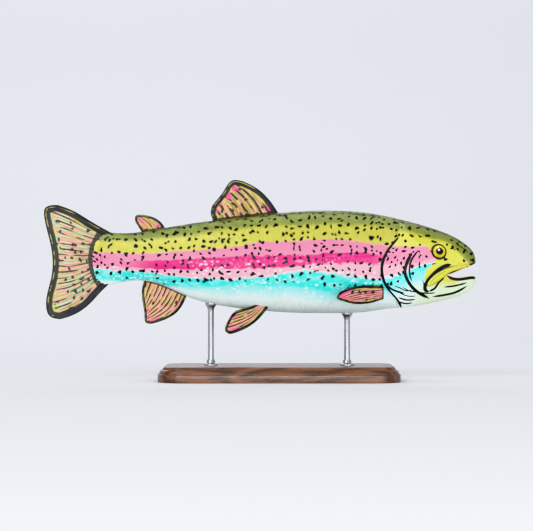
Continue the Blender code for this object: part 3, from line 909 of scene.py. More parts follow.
@dataclass(frozen=True)
class Markings:
    """The bands, spots and flecks, and the dark lines of painted shade in the creases, that the skin, the
    scales and the lip bones share, and the fins' web.
    """

    ridge: Colour = (52, 58, 38)
    back: Colour = (139, 150, 78)
    moss: Colour = (158, 170, 90)
    flank: Colour = (201, 197, 84)
    lemon: Colour = (212, 208, 100)
    rose: Colour = (251, 149, 187)
    stripe: Colour = (232, 0, 130)
    blush: Colour = (255, 190, 208)
    turquoise: Colour = (58, 230, 222)
    pale: Colour = (154, 240, 240)
    belly: Colour = (238, 255, 252)
    face: Colour = (188, 186, 62)
    snout: Colour = (116, 126, 54)
    jaw: Colour = (212, 228, 196)
    # the spots' dark pigment, and the painted shade in the creases
    ink_and_painted_shade: Colour = (10, 10, 16)
    fleck: Colour = (252, 253, 253)

    @cached_property
    def spots(self) -> Group:
        """Dark spots: bent ovals, ((x + bend y^2) / slim)^2 + y^2 < radius^2, that each turn their own way.

        Returns:
            the group. Flat is where on the unrolled skin, in millimetres, and Amount is the share of the
            spots that show. Spot is 1 inside a spot.
        """
        group = Group("trout_spots", {"Flat": VECTOR, "Amount": NUMBER}, {"Spot": NUMBER})
        net, flat, amount = group.net, group.inputs["Flat"], group.inputs["Amount"]
        bent, found = flat, []
        for scale, reach in SPOT_WARPS:
            noise = net.add("TexNoise", Vector=flat, Scale=scale, Detail=0.0).outputs["Color"]
            shift = net.vector_math("SUBTRACT", noise, (0.5, 0.5, 0.5))
            bent = net.vector_math("ADD", bent, net.vector_math("MULTIPLY", shift, (reach, reach, 0.0)))
        for sort in SPOT_SIZES:
            place = net.vector_math("MULTIPLY", bent, (1 / sort.cell, 1 / sort.cell, 0.0))
            cell = net.cells(place, SPOT_JITTER)
            red, green, blue = net.split(cell["Color"])
            turn = net.product(green, 2 * pi)
            cosine, sine = net.math("COSINE", turn), net.math("SINE", turn)
            x, y, _ = net.split(net.vector_math("SUBTRACT", place, cell["Position"]))
            long = net.math("ADD", net.product(x, cosine), net.product(y, sine))
            short = net.math("SUBTRACT", net.product(y, cosine), net.product(x, sine))
            curl = net.product(net.math("SUBTRACT", blue, 0.4), 3.0, long, long)
            short = net.math("DIVIDE", net.math("ADD", short, curl), sort.slim)
            reach = net.math("SQRT", net.math("ADD", net.product(long, long), net.product(short, short)))
            inside = net.math("SUBTRACT", net.math("MULTIPLY_ADD", blue, sort.extra, sort.least), reach)
            kept = net.math("GREATER_THAN", net.math("ADD", red, amount), sort.empty + 1)
            found.append(net.product(net.span(inside, -0.012, 0.014), kept))
        net.set(group.end, Spot=net.math("MAXIMUM", *found))
        return group

    def flecks(self, net: Net, at: Any, girth: Any, height: Any, face: Any) -> Socket:
        """The pale flecks of the lower flank, round and in clusters.

        Args:
            net: the group's tree.
            at, girth, height: where on the skin.
            face: the face's share, which has none.

        Returns:
            1 inside a fleck.
        """
        cell = net.cells(net.scaled((at, 1 / 5.4), (girth, 1 / 3.2)))
        red, green, _ = net.split(cell["Color"])
        radius = net.math("MULTIPLY_ADD", net.product(green, green), 0.28, 0.14)
        cluster = net.grain((at, 0.03), (girth, 0.07), detail=1.0)
        return net.product(
            net.span(net.math("SUBTRACT", radius, cell["Distance"]), -0.05, 0.14),
            net.math("GREATER_THAN", net.math("ADD", red, net.span(cluster, 0.36, 0.60)), 1.13),
            net.band(height, -46, 4, 8), net.span(at, 84, 112, 0.3, 1.0), net.span(face, 0.1, 0.5, 1, 0))

    @cached_property
    def bands(self) -> Group:
        """The bands from back to belly, with ragged edges, the bright stripe, the pale flecks, the spots, and
        the dark lines of painted shade in the creases.

        Returns:
            the group. Lie and Masks are what Form's lie and masks give. Spot is how far inside a spot or a
            crease, and Shine is how silvery.
        """
        group = Group("trout_bands", {"Lie": VECTOR, "Masks": VECTOR},
                      {"Colour": COLOUR, "Spot": NUMBER, "Shine": NUMBER})
        net = group.net
        at, level, girth = net.split(group.inputs["Lie"])
        ahead, jaw, line = net.split(group.inputs["Masks"])
        # painted shade: dark lines along the creases, the gill opening, the lips and the nostrils
        crease = net.span(line, 0.0, 0.35)
        broad = net.grain((at, 0.03), (level, 0.035), (girth, 0.002))
        fine = net.grain((at, 0.15), (girth, 0.2), detail=4.0, rough=0.65)
        sway = net.wander(net.math("MULTIPLY_ADD", broad, 7.0, -3.5), fine, 7.0)
        face = net.span(net.math("ADD", ahead, net.product(sway, 0.5)), -0.7, 0.7)
        height = net.math("ADD", level, sway)
        stops = [(0.0, self.belly), (0.12, self.belly), (0.225, self.pale), (0.262, self.turquoise),
                 (0.362, self.turquoise), (0.388, self.blush), (0.455, self.blush), (0.475, self.rose),
                 (0.663, self.rose), (0.683, self.flank), (0.80, self.flank), (0.85, self.back),
                 (0.915, self.back), (0.96, self.ridge), (1.0, self.ridge)]
        body = net.ramp(net.math("MULTIPLY_ADD", height, 1 / 110, 0.5), stops)
        stripe = net.product(
            net.band(height, -5.0, 7.0, 0.9), net.span(at, 76, 114), net.span(at, 326, 384, 1, 0),
            net.span(net.grain((at, 0.045), (girth, 0.11)), 0.24, 0.32))
        wash = net.grain((at, 0.09), (girth, 0.16), detail=3.0)
        body = net.layers(
            body, (stripe, self.stripe),
            (net.product(net.band(height, -30, -14, 3.0), net.span(wash, 0.48, 0.62, 0, 0.7)), self.pale),
            (net.product(net.band(height, 20, 36, 2.0), net.span(wash, 0.5, 0.66, 0, 0.35)), self.lemon),
            (net.product(net.span(height, 34, 42), net.span(wash, 0.42, 0.6, 0, 0.5)), self.moss))
        head = net.layers(
            self.face, (net.span(height, 33, 41), self.snout), (net.span(height, 46, 51, 0, 0.8), self.ridge))
        share = net.product(
            net.span(height, -31, -18), net.span(jaw, 0, 0.4, 1, 0), net.span(face, 0.2, 1, 1, 0.8))
        spot = self.spots.use(net, Flat=net.join(at, girth), Amount=share)["Spot"]
        fleck = net.product(self.flecks(net, at, girth, height, face), 0.85)
        colour = net.layers(
            body, (face, head), (jaw, self.jaw), (fleck, self.fleck), (spot, self.ink_and_painted_shade), (crease, self.ink_and_painted_shade))
        net.set(group.end, Colour=colour, Spot=net.math("MAXIMUM", spot, crease),
                Shine=net.span(height, 30, -20))
        return group

    @cached_property
    def web(self) -> Group:
        """A fin's streaks, its strokes along the rays, its border with a thin pale line in it, and painted
        shadow at its root.

        Returns:
            the group. Web and Away are Fin's web and root, Pitch and Width are the strokes', Start and Gate
            are the noise from which a stroke and the bright pink show, Border is in millimetres, and Root is
            how far out the painted shadow at the fin's root reaches. It gives the share of each coat, and
            Grain for the bump.
        """
        group = Group(
            "fin_web", {"Web": VECTOR, **dict.fromkeys(
                ("Away", "Pitch", "Width", "Start", "Gate", "Border", "Root"), NUMBER)},
            dict.fromkeys(("Streak", "Stroke", "Hot", "Line", "Edge", "Rim", "Base", "Grain"), NUMBER))
        net, (web, away, pitch, width, start, low, border, root, *_) = group.net, group.inputs
        phase, far, edge = net.split(web)
        wisp = net.grain((phase, 3.7), (far, 3.0))
        count = net.math("ADD", net.product(phase, pitch),
                         net.product(net.grain((phase, 0.8), (far, 3.5)), 0.5))
        length = net.grain((net.math("FLOOR", count), 7.3), (far, 3.6), detail=1.0)
        aside = net.math("ABSOLUTE", net.math("SUBTRACT", net.math("FRACT", count), 0.5))
        inside = net.math("SUBTRACT", net.span(length, start, net.math("ADD", start, 0.12), 0, width), aside)
        ragged = net.grain((phase, 1.3), (far, 8.0), detail=3.0)
        gate = net.grain((phase, 0.9), (far, 3.0), (3.0,), detail=1.0)
        inner = net.math("DIVIDE", net.wander(edge, ragged, 1.6), border)
        outer = net.math("DIVIDE", net.wander(edge, ragged, 0.5), border)
        net.set(
            group.end, Streak=net.wander(net.grain((phase, 1.15), (far, 1.1), rough=0.6), wisp, 0.30),
            Stroke=net.product(net.span(inside, -0.01, 0.04), net.span(far, 0.02, 0.1, 0, 0.94)),
            Hot=net.product(net.band(inner, 1.0, 1.9, 0.25), net.span(gate, low, net.math("ADD", low, 0.06))),
            Line=net.product(net.band(inner, 0.95, 1.3, 0.1), net.span(gate, 0.53, 0.46, 0, 0.85)),
            Edge=net.span(inner, 1.08, 0.92),
            Rim=net.product(net.band(outer, 0.27, 0.37, 0.04), net.span(gate, 0.48, 0.56, 0, 0.9)),
            # painted shadow at the fin's root, where it meets the body
            Base=net.span(net.wander(away, wisp, 1.6), net.math("ADD", root, 0.5),
                          net.math("SUBTRACT", root, 0.3), 0, 0.92),
            Grain=net.grain((phase, 9.0), (far, 60.0)))
        return group


MARKINGS = Markings()


def new_material(name: str) -> tuple[Material, Net, bpy.types.Node]:
    """A material with its tree's builder and its Principled shader."""
    material = bpy.data.materials.new(name)
    material.use_nodes = True
    return material, Net(material.node_tree), material.node_tree.nodes["Principled BSDF"]


@dataclass(frozen=True)
class SkinFinish:
    """Wet skin: the markings, a fine grain on the head, and pink flesh inside the mouth, with painted shade
    darkening it towards the throat.
    """

    roughness: float = 0.4
    coat: float = 0.4
    grain: float = 0.00012
    mouth: Colour = (226, 128, 126)
    vein: Colour = (240, 158, 150)
    painted_throat_shade: Colour = (120, 44, 50)

    def build(self) -> Material:
        """The skin's material, which reads the attributes lie, masks and lining."""
        material, net, shader = new_material("trout_skin")
        colour, spot, shine = MARKINGS.bands.use(net, Lie=net.vector("lie"), Masks=net.vector("masks"))
        lining, place = net.number("lining"), net.place()
        # painted shade: the flesh darkens deeper in the mouth, towards the throat
        flesh = net.layers(
            self.mouth, (net.span(net.noise(place, 0.6, 3.0), 0.35, 0.7), self.vein),
            (net.span(lining, 0.35, 1.0), self.painted_throat_shade))
        net.set(shader, Base_Color=net.layers(colour, (net.span(lining, 0.0, 0.12), flesh)),
                Metallic=net.product(shine, 0.12), Roughness=net.span(spot, 0, 1, self.roughness, 0.5),
                Coat_Weight=net.span(spot, 0, 1, self.coat, 0.1), Coat_Roughness=0.2, Specular_IOR_Level=0.35,
                Normal=net.bump(net.noise(place, 1.6, 3.0, 0.6), self.grain))
        return material


@dataclass(frozen=True)
class ScaleFinish:
    """Silvery scales with the skin's markings: each a little lighter or darker, with painted shade towards
    its root, where the scale ahead lies over it, and a painted highlight along its tip's edge.
    """

    roughness: float = 0.35
    metallic: float = 0.12
    coat: float = 0.22
    shade: Colour = (60, 70, 60)
    # painted shade towards each scale's root, under the scale ahead
    root: Colour = (90, 96, 84)
    # painted highlight along each scale's tip
    rim: Colour = (255, 255, 255)

    def build(self) -> Material:
        """The scales' material, which reads the attributes lie, tip and sparkle."""
        material, net, shader = new_material("trout_scales")
        colour, spot, _ = MARKINGS.bands.use(net, Lie=net.vector("lie"), Masks=(FACE_OUT, 0.0, SHADE_LINE_OUT))
        tip, sparkle = net.number("tip"), net.number("sparkle")
        colour = net.layers(
            colour, (net.product(sparkle, 0.16), self.shade, "MULTIPLY"),
            # painted highlight on the tip's edge
            (net.span(tip, 0.86, 0.98, 0, 0.09), self.rim, "SCREEN"),
            # painted shade towards the root
            (net.span(tip, 0.88, 0.60, 0, 0.36), self.root, "MULTIPLY"))
        net.set(
            shader, Base_Color=colour, Metallic=net.span(spot, 0, 1, self.metallic, 0),
            Roughness=net.math("MULTIPLY_ADD", sparkle, 0.10, self.roughness),
            Coat_Weight=net.span(spot, 0, 1, self.coat, 0.05), Coat_Roughness=0.24, Specular_IOR_Level=0.22)
        return material


@dataclass(frozen=True)
class FinFinish:
    """Fin web: streaks of colour and dark strokes along the rays, dark spots, a dark border with a thin
    pale line in it, and painted shadow at its root, where it meets the body. hot is the share of bright pink
    inside the border."""

    palette: tuple[Colour, ...]
    strokes: float = 0.55
    stroke_pitch: float = 0.8
    stroke_width: float = 0.15
    spots: float = 0.5
    hot: float = 0.5
    border: float = 2.4
    # how far out the painted shadow at the root reaches
    root: float = 1.0
    spread: tuple[float, float] = (0.35, 0.65)
    ray_tint: Colour = (246, 232, 186)
    web_shade: Colour = (120, 92, 70)
    ink_and_painted_shade: Colour = (24, 24, 26)
    pale: Colour = (190, 186, 74)
    bright: Colour = (255, 66, 160)

    def build(self, name: str) -> Material:
        """One fin's material, which reads the attributes web (ray number, share of the way out, distance
        from the edge), ray and root (distance from the body).

        Args:
            name: the fin's name.

        Returns:
            the material.
        """
        material, net, shader = new_material(f"{name}_web")
        x, _, z = net.split(net.place())
        spot = MARKINGS.spots.use(net, Flat=net.join(x, z), Amount=self.spots)["Spot"]
        streak, stroke, hot, line, edge, rim, base, grain = MARKINGS.web.use(
            net, Web=net.vector("web"), Away=net.number("root"), Pitch=self.stroke_pitch,
            Width=self.stroke_width, Start=0.66 - 0.4 * self.strokes, Gate=0.64 - 0.24 * self.hot,
            Border=self.border, Root=self.root)
        ray = net.number("ray")
        stops = np.linspace(*self.spread, len(self.palette))
        colour = net.layers(
            net.ramp(streak, list(zip(stops.tolist(), self.palette))),
            (net.span(ray, 0.5, 1.0, 0, 0.30), self.ray_tint),
            (net.span(ray, 0.35, 0.0, 0, 0.22), self.web_shade, "MULTIPLY"),
            (stroke, self.ink_and_painted_shade), (net.product(spot, 0.95), self.ink_and_painted_shade), (hot, self.bright), (line, self.pale),
            # the last coat is the painted shadow at the root
            (edge, self.ink_and_painted_shade), (rim, self.pale), (base, self.ink_and_painted_shade))
        net.set(shader, Base_Color=colour, Roughness=net.span(ray, 0, 1, 0.46, 0.36), Coat_Weight=0.18,
                Coat_Roughness=0.25, Specular_IOR_Level=0.28, Subsurface_Weight=0.06, Subsurface_Scale=0.002,
                Normal=net.bump(grain, 0.00006))
        return material


OLIVE, LEAF, MINT = (136, 140, 46), (132, 172, 82), (104, 200, 158)
SAND, SALMON, PINK, LEMON = (186, 138, 90), (214, 122, 112), (232, 142, 164), (184, 176, 56)
FIN_FINISHES = {
    "dorsal_fin": FinFinish((OLIVE, PINK, LEMON, SAND, OLIVE, SALMON), strokes=0.74, stroke_width=0.22,
                            spots=0.66, hot=0.35, border=5.4, root=1.4),
    "adipose_fin": FinFinish((OLIVE, LEMON, SAND, SALMON, PINK), strokes=0.6, spots=0.6, hot=0.2, border=2.6),
    "tail_fin": FinFinish((OLIVE, PINK, LEAF, SALMON, MINT, SAND, PINK, LEMON), stroke_pitch=1.1, strokes=0.6,
                          stroke_width=0.16, spots=0.9, hot=-0.8, border=7.0, root=2.8),
    "anal_fin": FinFinish((PINK, LEMON, SAND, PINK, LEMON, SALMON), stroke_pitch=1.0, strokes=0.84,
                          stroke_width=0.2, spots=0.4, hot=0.1, border=2.9),
    "pelvic_fin": FinFinish((PINK, OLIVE, SAND, PINK, LEMON, OLIVE), stroke_pitch=0.8, strokes=0.84,
                            stroke_width=0.23, spots=0.3, hot=0.1, border=3.0),
    "pectoral_fin": FinFinish((OLIVE, SALMON, PINK, SAND, PINK, SALMON), stroke_pitch=0.7, strokes=0.84,
                              stroke_width=0.2, spots=0.5, border=2.6, root=2.6, hot=0.3),
}


@dataclass(frozen=True)
class EyeFinish:
    """A golden iris with fine spokes, a black pupil with a bright ring, and a dark outer ring."""

    gold: Colour = (184, 166, 22)
    bright: Colour = (208, 192, 44)
    amber: Colour = (150, 124, 24)
    ring: Colour = (160, 138, 20)
    dark: Colour = (30, 30, 24)
    pupil: Colour = (3, 3, 4)

    def build(self) -> Material:
        """The material, which reads the attribute gaze (radius, and the direction round the pupil)."""
        material, net, shader = new_material("trout_eye")
        radius, across, up = net.split(net.vector("gaze"))
        spokes = net.grain((across, 7.0), (up, 7.0), (radius, 0.3), detail=3.0)
        shade = net.grain((across, 1.6), (up, 1.6), (radius, 0.2))
        colour = net.layers(
            self.gold, (net.span(spokes, 0.35, 0.7), self.bright),
            (net.span(shade, 0.5, 0.75, 0, 0.4), self.amber),
            (net.span(radius, 4.9, 4.5, 0, 0.45), self.ring),
            (net.span(radius, 6.2, 6.8), self.dark), (net.span(radius, 3.85, 3.65), self.pupil))
        net.set(shader, Base_Color=colour, Metallic=net.product(net.band(radius, 3.8, 6.4, 0.2), 0.25),
                Roughness=0.35, Specular_IOR_Level=0.1, Coat_Weight=1.0, Coat_Roughness=0.02,
                Normal=net.bump(spokes, 0.00008))
        return material


@dataclass(frozen=True)
class FleshFinish:
    """The tongue's wet pink flesh."""

    colour: Colour = (226, 132, 128)
    deep: Colour = (186, 84, 88)

    def build(self) -> Material:
        """The tongue's material."""
        material, net, shader = new_material("tongue_flesh")
        patch = net.span(net.noise(net.place(), 0.35, 3.0), 0.35, 0.65)
        net.set(shader, Base_Color=net.layers(self.colour, (patch, self.deep)), Roughness=0.3,
                Coat_Weight=0.7, Coat_Roughness=0.12, Subsurface_Weight=0.1, Subsurface_Scale=0.002,
                Normal=net.bump(net.noise(net.place(), 1.8), 0.0001))
        return material


@dataclass(frozen=True)
class EnamelFinish:
    """The teeth: ivory, a little darker at the root."""

    ivory: Colour = (250, 247, 236)
    root: Colour = (232, 222, 196)

    def build(self) -> Material:
        """The teeth's material."""
        material, net, shader = new_material("tooth_enamel")
        patch = net.span(net.noise(net.place(), 0.9), 0.4, 0.65)
        net.set(shader, Base_Color=net.layers(self.ivory, (patch, self.root)), Roughness=0.25,
                Coat_Weight=0.4, Coat_Roughness=0.1)
        return material


@dataclass(frozen=True)
class WalnutFinish:
    """Satin walnut with its grain along the base: stretched rings and fine dark pores."""

    pale: Colour = (122, 78, 50)
    dark: Colour = (64, 38, 24)
    pore: Colour = (36, 21, 14)

    def build(self) -> Material:
        """The base's material."""
        material, net, shader = new_material("stand_walnut")
        x, y, z = net.split(net.place())
        warp = net.grain((x, 0.006), (y, 0.03), (z, 0.03))
        rings = net.math("SINE", net.math("MULTIPLY_ADD", warp, 46.0, net.product(y, 0.16)))
        fine = net.grain((x, 0.03), (y, 0.9), (z, 0.9), detail=4.0, rough=0.65)
        pores = net.span(net.grain((x, 0.12), (y, 2.6), (z, 2.6)), 0.60, 0.68)
        colour = net.layers(
            self.dark, (net.span(net.math("MULTIPLY_ADD", rings, 0.16, fine), 0.28, 0.74), self.pale),
            (net.product(pores, 0.6), self.pore))
        height = net.math("SUBTRACT", fine, net.product(pores, 0.8))
        net.set(shader, Base_Color=colour, Roughness=net.span(fine, 0.3, 0.7, 0.46, 0.36), Coat_Weight=0.35,
                Coat_Roughness=0.22, Normal=net.bump(height, 0.00012))
        return material


@dataclass(frozen=True)
class SteelFinish:
    """Brushed steel with fine rings round the rods."""

    colour: Colour = (186, 188, 192)
    groove: Colour = (150, 153, 158)

    def build(self) -> Material:
        """The rods' material."""
        material, net, shader = new_material("stand_steel")
        x, y, z = net.split(net.place())
        brush = net.grain((x, 0.2), (y, 0.2), (z, 9.0), detail=3.0, rough=0.7)
        net.set(shader, Base_Color=net.layers(self.colour, (brush, self.groove)), Metallic=1.0,
                Roughness=net.span(brush, 0.3, 0.7, 0.22, 0.36), Normal=net.bump(brush, 0.00003))
        return material


# ---- skin

@dataclass
class Skin:
    """The trout's one skin, closed round the lips and the mouth's lining."""

    form: Form
    head_pitch: float = 0.66
    nape_pitch: float = 0.8
    trunk_pitch: float = 2.6
    columns: int = 168
    tail_start: float = 372.0
    lip_columns: int = 6
    lining_columns: int = 16
    lip_round: float = 0.8

    def rows(self, start: float, end: float, pitch: float) -> Array:
        """Distances behind the snout, evenly spaced along the back's profile.

        Args:
            start, end, pitch: the first and last, and about how far apart they are.

        Returns:
            the distances.
        """
        at = np.linspace(sqrt(start), sqrt(end), 4000) ** 2
        along = np.concatenate([[0], np.cumsum(np.hypot(np.diff(at), np.diff(self.form.back(at))))])
        return np.interp(np.linspace(0, along[-1], int(round(along[-1] / pitch)) + 1), along, at)

    def bent_rows(self, rows: Array, turns: Array) -> Array:
        """Rows bent so that one of them follows the gill opening, which keeps its edge crisp.

        Args:
            rows, turns: the grid's distances and turns.

        Returns:
            the distances over the grid.
        """
        at = np.full((1, len(turns)), GILL_ROW)
        for _ in range(12):
            at = self.form.gill_at(self.form.section(at, turns[None])[..., 2])
        bump = ease(rows, 66, GILL_ROW) * ease(-rows, -HEAD_END, -GILL_ROW)
        return rows[:, None] + (at - GILL_ROW) * bump[:, None]

    def patch(self, at: Array, turn: Array) -> tuple[Array, Values]:
        """A grid of the skin, with the lips' edges rounded off.

        Args:
            at, turn: the places.

        Returns:
            (their points, their values)
        """
        points = self.form.surface(at, turn)
        lip = self.lip_round * ease(MOUTH_CORNER - at, 0, 6) * ease(1 - np.abs(turn - 1), 0.93, 1)
        points[..., 2] += np.where(turn > 1, -lip, lip)
        return points, dict(
            lie=self.form.lie(at, turn, 1.0), masks=self.form.masks(at, turn), lining=np.zeros(at.shape))

    def lining(self, at: Array, lower: bool) -> Array:
        """The palate or the mouth's floor: a ridged vault that closes at the throat.

        Args:
            at: its rows.
            lower: whether it is the floor.

        Returns:
            points from the lip to the middle.
        """
        width, height = self.form.edge(np.minimum(at, MOUTH_CORNER - 1e-6), np.full(at.shape, lower))
        depth = np.clip(at - MOUTH_CORNER, 0, None) / (THROAT - MOUTH_CORNER)
        wide, deep = quarter_round(depth), np.clip(at / 12, 0, 1)
        reach = (width - np.minimum(LIP_WIDTH, 0.45 * width)) * wide
        vault = (FLOOR_DROP if lower else PALATE_RISE) * deep * wide
        turn = np.linspace(0, pi / 2, self.lining_columns)
        ridge = 0.25 * np.sin(8 * turn) * np.sin(turn)
        side = reach[:, None] * np.cos(turn)
        rise = (vault[:, None] + ridge * (wide * deep)[:, None]) * np.sin(turn)
        return packed(at[:, None], side, (height - THROAT_FALL * depth)[:, None] + rise)

    def lip(self, skin_edge: Array, lining_edge: Array, lower: bool) -> Array:
        """A strip from the skin's edge to the lining's, rounded by a half sine.

        Args:
            skin_edge, lining_edge: the edges' points.
            lower: whether it is the lower lip.

        Returns:
            points across the lip.
        """
        share = np.linspace(0, 1, self.lip_columns + 1)[None, :, None]
        strip = skin_edge[:, None] * (1 - share) + lining_edge[:, None] * share
        swell = self.lip_round * ease(MOUTH_CORNER - skin_edge[:, 0], 0, 6) * ease(skin_edge[:, 0], 0, 4)
        bulge = swell[:, None] * np.sin(pi * share[..., 0])
        strip[..., 2] += bulge if lower else -bulge
        return strip

    def add_mouth(self, shell: Shell, edge: Array, rows: Array, lower: bool) -> None:
        """Adds one jaw's lip and lining.

        Args:
            shell: where they go.
            edge: the skin's points along the lip.
            rows: the lining's distances.
            lower: whether it is the lower jaw.
        """
        lining = self.lining(rows, lower)
        for points in (lining, self.lip(edge, lining[:len(edge), 0], lower)):
            at, shape, inner = points[..., 0], points.shape[:2], points is lining
            lips = np.linspace(0, 0.08, shape[1])[None] * np.ones(shape)
            # painted shade: the lip strip is dark next to the skin, where the mouth opens
            line = np.full(shape, SHADE_LINE_OUT) if inner else SHADE_LINE_FULL - 50 * lips
            jaw = jaw_tint(at) if lower else np.zeros(shape)
            shell.add_both(
                points, lie=packed(at, points[..., 2], SIDE_SHIFT), masks=packed(FACE_FULL, jaw, line),
                lining=ease(at, 20, THROAT - 4) * 0.88 + 0.12 if inner else lips)

    def build(self) -> Item:
        """Builds the head and trunk, lips, palate and floor, on both sides.

        Returns:
            the skin.
        """
        shell, quarter = Shell(), self.columns // 2
        snout = self.rows(0, MOUTH_CORNER, self.head_pitch)
        throat = self.rows(MOUTH_CORNER, THROAT, self.head_pitch)[1:]
        cheek = self.rows(THROAT, GILL_ROW, self.head_pitch)[1:]
        mouth = np.concatenate([snout, throat])
        fine = np.concatenate([mouth, cheek, self.rows(GILL_ROW, HEAD_END, self.nape_pitch)[1:]])
        upper, lower = np.linspace(0, 1, quarter + 1), np.linspace(1 + 1e-6, 2, quarter + 1)
        (above, above_values), (below, below_values) = (
            self.patch(self.bent_rows(fine, turns), np.broadcast_to(turns, (len(fine), len(turns))))
            for turns in (upper, lower))
        below[len(snout) - 1:, 0] = above[len(snout) - 1:, -1]
        shell.add_both(above, **above_values)
        shell.add_both(below, **below_values)
        turns = np.concatenate([upper[::2], lower[2::2]])
        start = self.tail_start
        coarse = np.linspace(HEAD_END, start, int(round((start - HEAD_END) / self.trunk_pitch)) + 1)
        ends = start + (self.form.end_at(turns)[None] - start) * np.linspace(0, 1, 13)[1:, None]
        at = np.concatenate([np.repeat(coarse[:, None], len(turns), 1), ends])
        trunk, values = self.patch(at, np.broadcast_to(turns, at.shape))
        trunk[-1, :, 1] = 0
        trunk[0] = np.concatenate([above[-1, ::2], below[-1, 2::2]])
        shell.add_both(trunk, **values)
        for row, ring in ((above[-1], above_values), (below[-1], below_values)):
            # one triangle closes the slit beside each coarse step of the trunk's first row
            first = np.arange(0, len(row) - 2, 2)
            last = {name: value[-1] for name, value in ring.items()}
            shell.add_both(row, packed(first, first + 2, first + 1), **last)
        self.add_mouth(shell, above[:len(snout), -1], mouth, False)
        self.add_mouth(shell, below[:len(snout), 0], mouth, True)
        return shell.build("trout_skin")


# ---- scales

@dataclass
class ScaleCoat:
    """The scales: thin closed leaves in rows along the lateral line, each over the roots of the next."""

    form: Form
    pitch: float = 2.15
    tail_pitch: float = 1.7
    row_share: float = 0.58
    length_share: float = 1.75
    width_share: float = 1.28
    tip_lift: float = 0.26
    start_gap: float = 1.2
    arc_points: int = 9
    bands: tuple[str, ...] = ("back", "flank", "belly")
    band_turns: tuple[float, float] = (0.62, 1.22)
    bake_size: float = 0.003

    def spacing(self, at: Array) -> Array:
        """Distance between scales along a row, which shrinks towards the tail and the nape."""
        return self.pitch + (self.tail_pitch - self.pitch) * ease(at, 230, 372) - 0.35 * ease(-at, -130, -84)

    def roots(self, rng: np.random.Generator) -> tuple[Array, Array, Array]:
        """Where the scales grow.

        Args:
            rng: the side's chance.

        Returns:
            (distance, distance round, spacing) of each.
        """
        at = np.linspace(70, FLESH_END[1] - 3, 6000)
        count = np.concatenate([[0], np.cumsum(np.diff(at) / self.spacing(at[1:]))])
        rows = []
        for row in range(-62, 63):
            where = np.interp(np.arange(0, count[-1], 1.0) + 0.5 * (row % 2), count, at)
            size = self.spacing(where)
            rows.append((where, row * size * self.row_share, size))
        where, around, size = (np.concatenate(part) for part in zip(*rows))
        where += rng.normal(0, 0.035, where.shape) * size
        around += rng.normal(0, 0.025, where.shape) * size
        turn = self.form.turn_from_girth(where, around)
        height = self.form.section(where, np.clip(turn, 0, 2))[..., 2]
        kept = ((turn > 0) & (turn < 2) & (where - self.form.gill_at(height) > self.start_gap)
                & (where < self.form.end_at(turn) - 6))
        return where[kept], around[kept], size[kept]

    def leaf(self) -> tuple[Array, Array]:
        """One scale: a short root and an arc of an ellipse round the tip.

        Returns:
            ((along, across, height) of its points, its triangles)
        """
        turn = np.radians(np.linspace(-112, 112, self.arc_points))
        rim = np.concatenate(
            [[(0.0, 0.24), (0.0, -0.24)], packed(0.54 + 0.44 * np.cos(turn), 0.5 * np.sin(turn))])
        lift = np.where(rim[:, 0] == 0, -0.25, 0.08 + 0.74 * rim[:, 0] ** 1.2)
        points = np.concatenate([np.column_stack([rim, lift]), [[0.62, 0.0, 0.80]]])
        count = len(rim)
        ring = np.arange(count)
        top = packed(ring, (ring + 1) % count, count)
        under = packed(0, ring[2:], ring[1:-1])
        return points, np.concatenate([top, under])

    def build(self) -> None:
        """Builds the coat in six pieces: back, flank and belly of each side."""
        material = ScaleFinish().build()
        leaf, faces = self.leaf()
        for side_name, side in SIDES:
            rng = np.random.default_rng(SEED + side)
            where, around, size = self.roots(rng)
            grow = size * rng.uniform(0.96, 1.04, size.shape)
            twist = rng.normal(0, 0.03, size.shape)[:, None]
            stand = self.tip_lift * size / self.pitch * rng.uniform(0.92, 1.08, size.shape)
            sparkle = rng.uniform(0, 1, size.shape)
            long = leaf[None, :, 0] * (grow * self.length_share)[:, None]
            wide = leaf[None, :, 1] * (grow * self.width_share)[:, None]
            at = where[:, None] + long - wide * twist
            turns = self.form.turn_from_girth(at, around[:, None] + wide + long * twist)
            points = self.form.surface(at, turns, leaf[None, :, 2] * stand[:, None])
            points = points if side > 0 else mirrored(points)
            lie = self.form.lie(at, turns, np.where((turns < 0) | (turns > 2), -side, side))
            root = packed(where, around)
            tip, sparkle = np.broadcast_arrays(leaf[:, 0], sparkle[:, None])
            third = np.digitize(self.form.turn_from_girth(where, around), self.band_turns)
            for index, band in enumerate(self.bands):
                chosen = third == index
                first = len(leaf) * np.arange(chosen.sum())[:, None, None]
                shell = Shell()
                shell.add(points[chosen].reshape(-1, 3), (faces[:, ::side] + first).reshape(-1, 3),
                          lie=lie[chosen].reshape(-1, 3), tip=tip[chosen].ravel(),
                          sparkle=sparkle[chosen].ravel())
                item = shell.build(f"scales_{band}_{side_name}", weld=False, sharp=60)
                self.unroll(item, root[chosen], leaf)
                finish_piece(item, material, "skin")

    def unroll(self, item: Item, root: Array, leaf: Array) -> None:
        """Gives a piece its bake map: a small patch for each scale at its root's place.

        Args:
            item: the piece.
            root: each scale's (distance, distance round).
            leaf: one scale's points.
        """
        root = 0.01 + 0.975 * (root - root.min(0)) / np.ptp(root, 0).max()
        patch = root[:, None] + self.bake_size * packed(leaf[:, 0], leaf[:, 1] + 0.5)
        loops = np.zeros(len(item.data.loops), np.int32)
        item.data.loops.foreach_get("vertex_index", loops)
        layer = item.data.uv_layers.new(name="OFBake")
        layer.data.foreach_set("uv", patch.reshape(-1, 2)[loops].ravel().astype(np.float32))


# ---- fins

class FinKind(Enum):
    """Where a fin grows: on the middle line, round the tail's end, or one on each side."""

    MEDIAN = "median"
    TAIL = "tail"
    PAIRED = "paired"


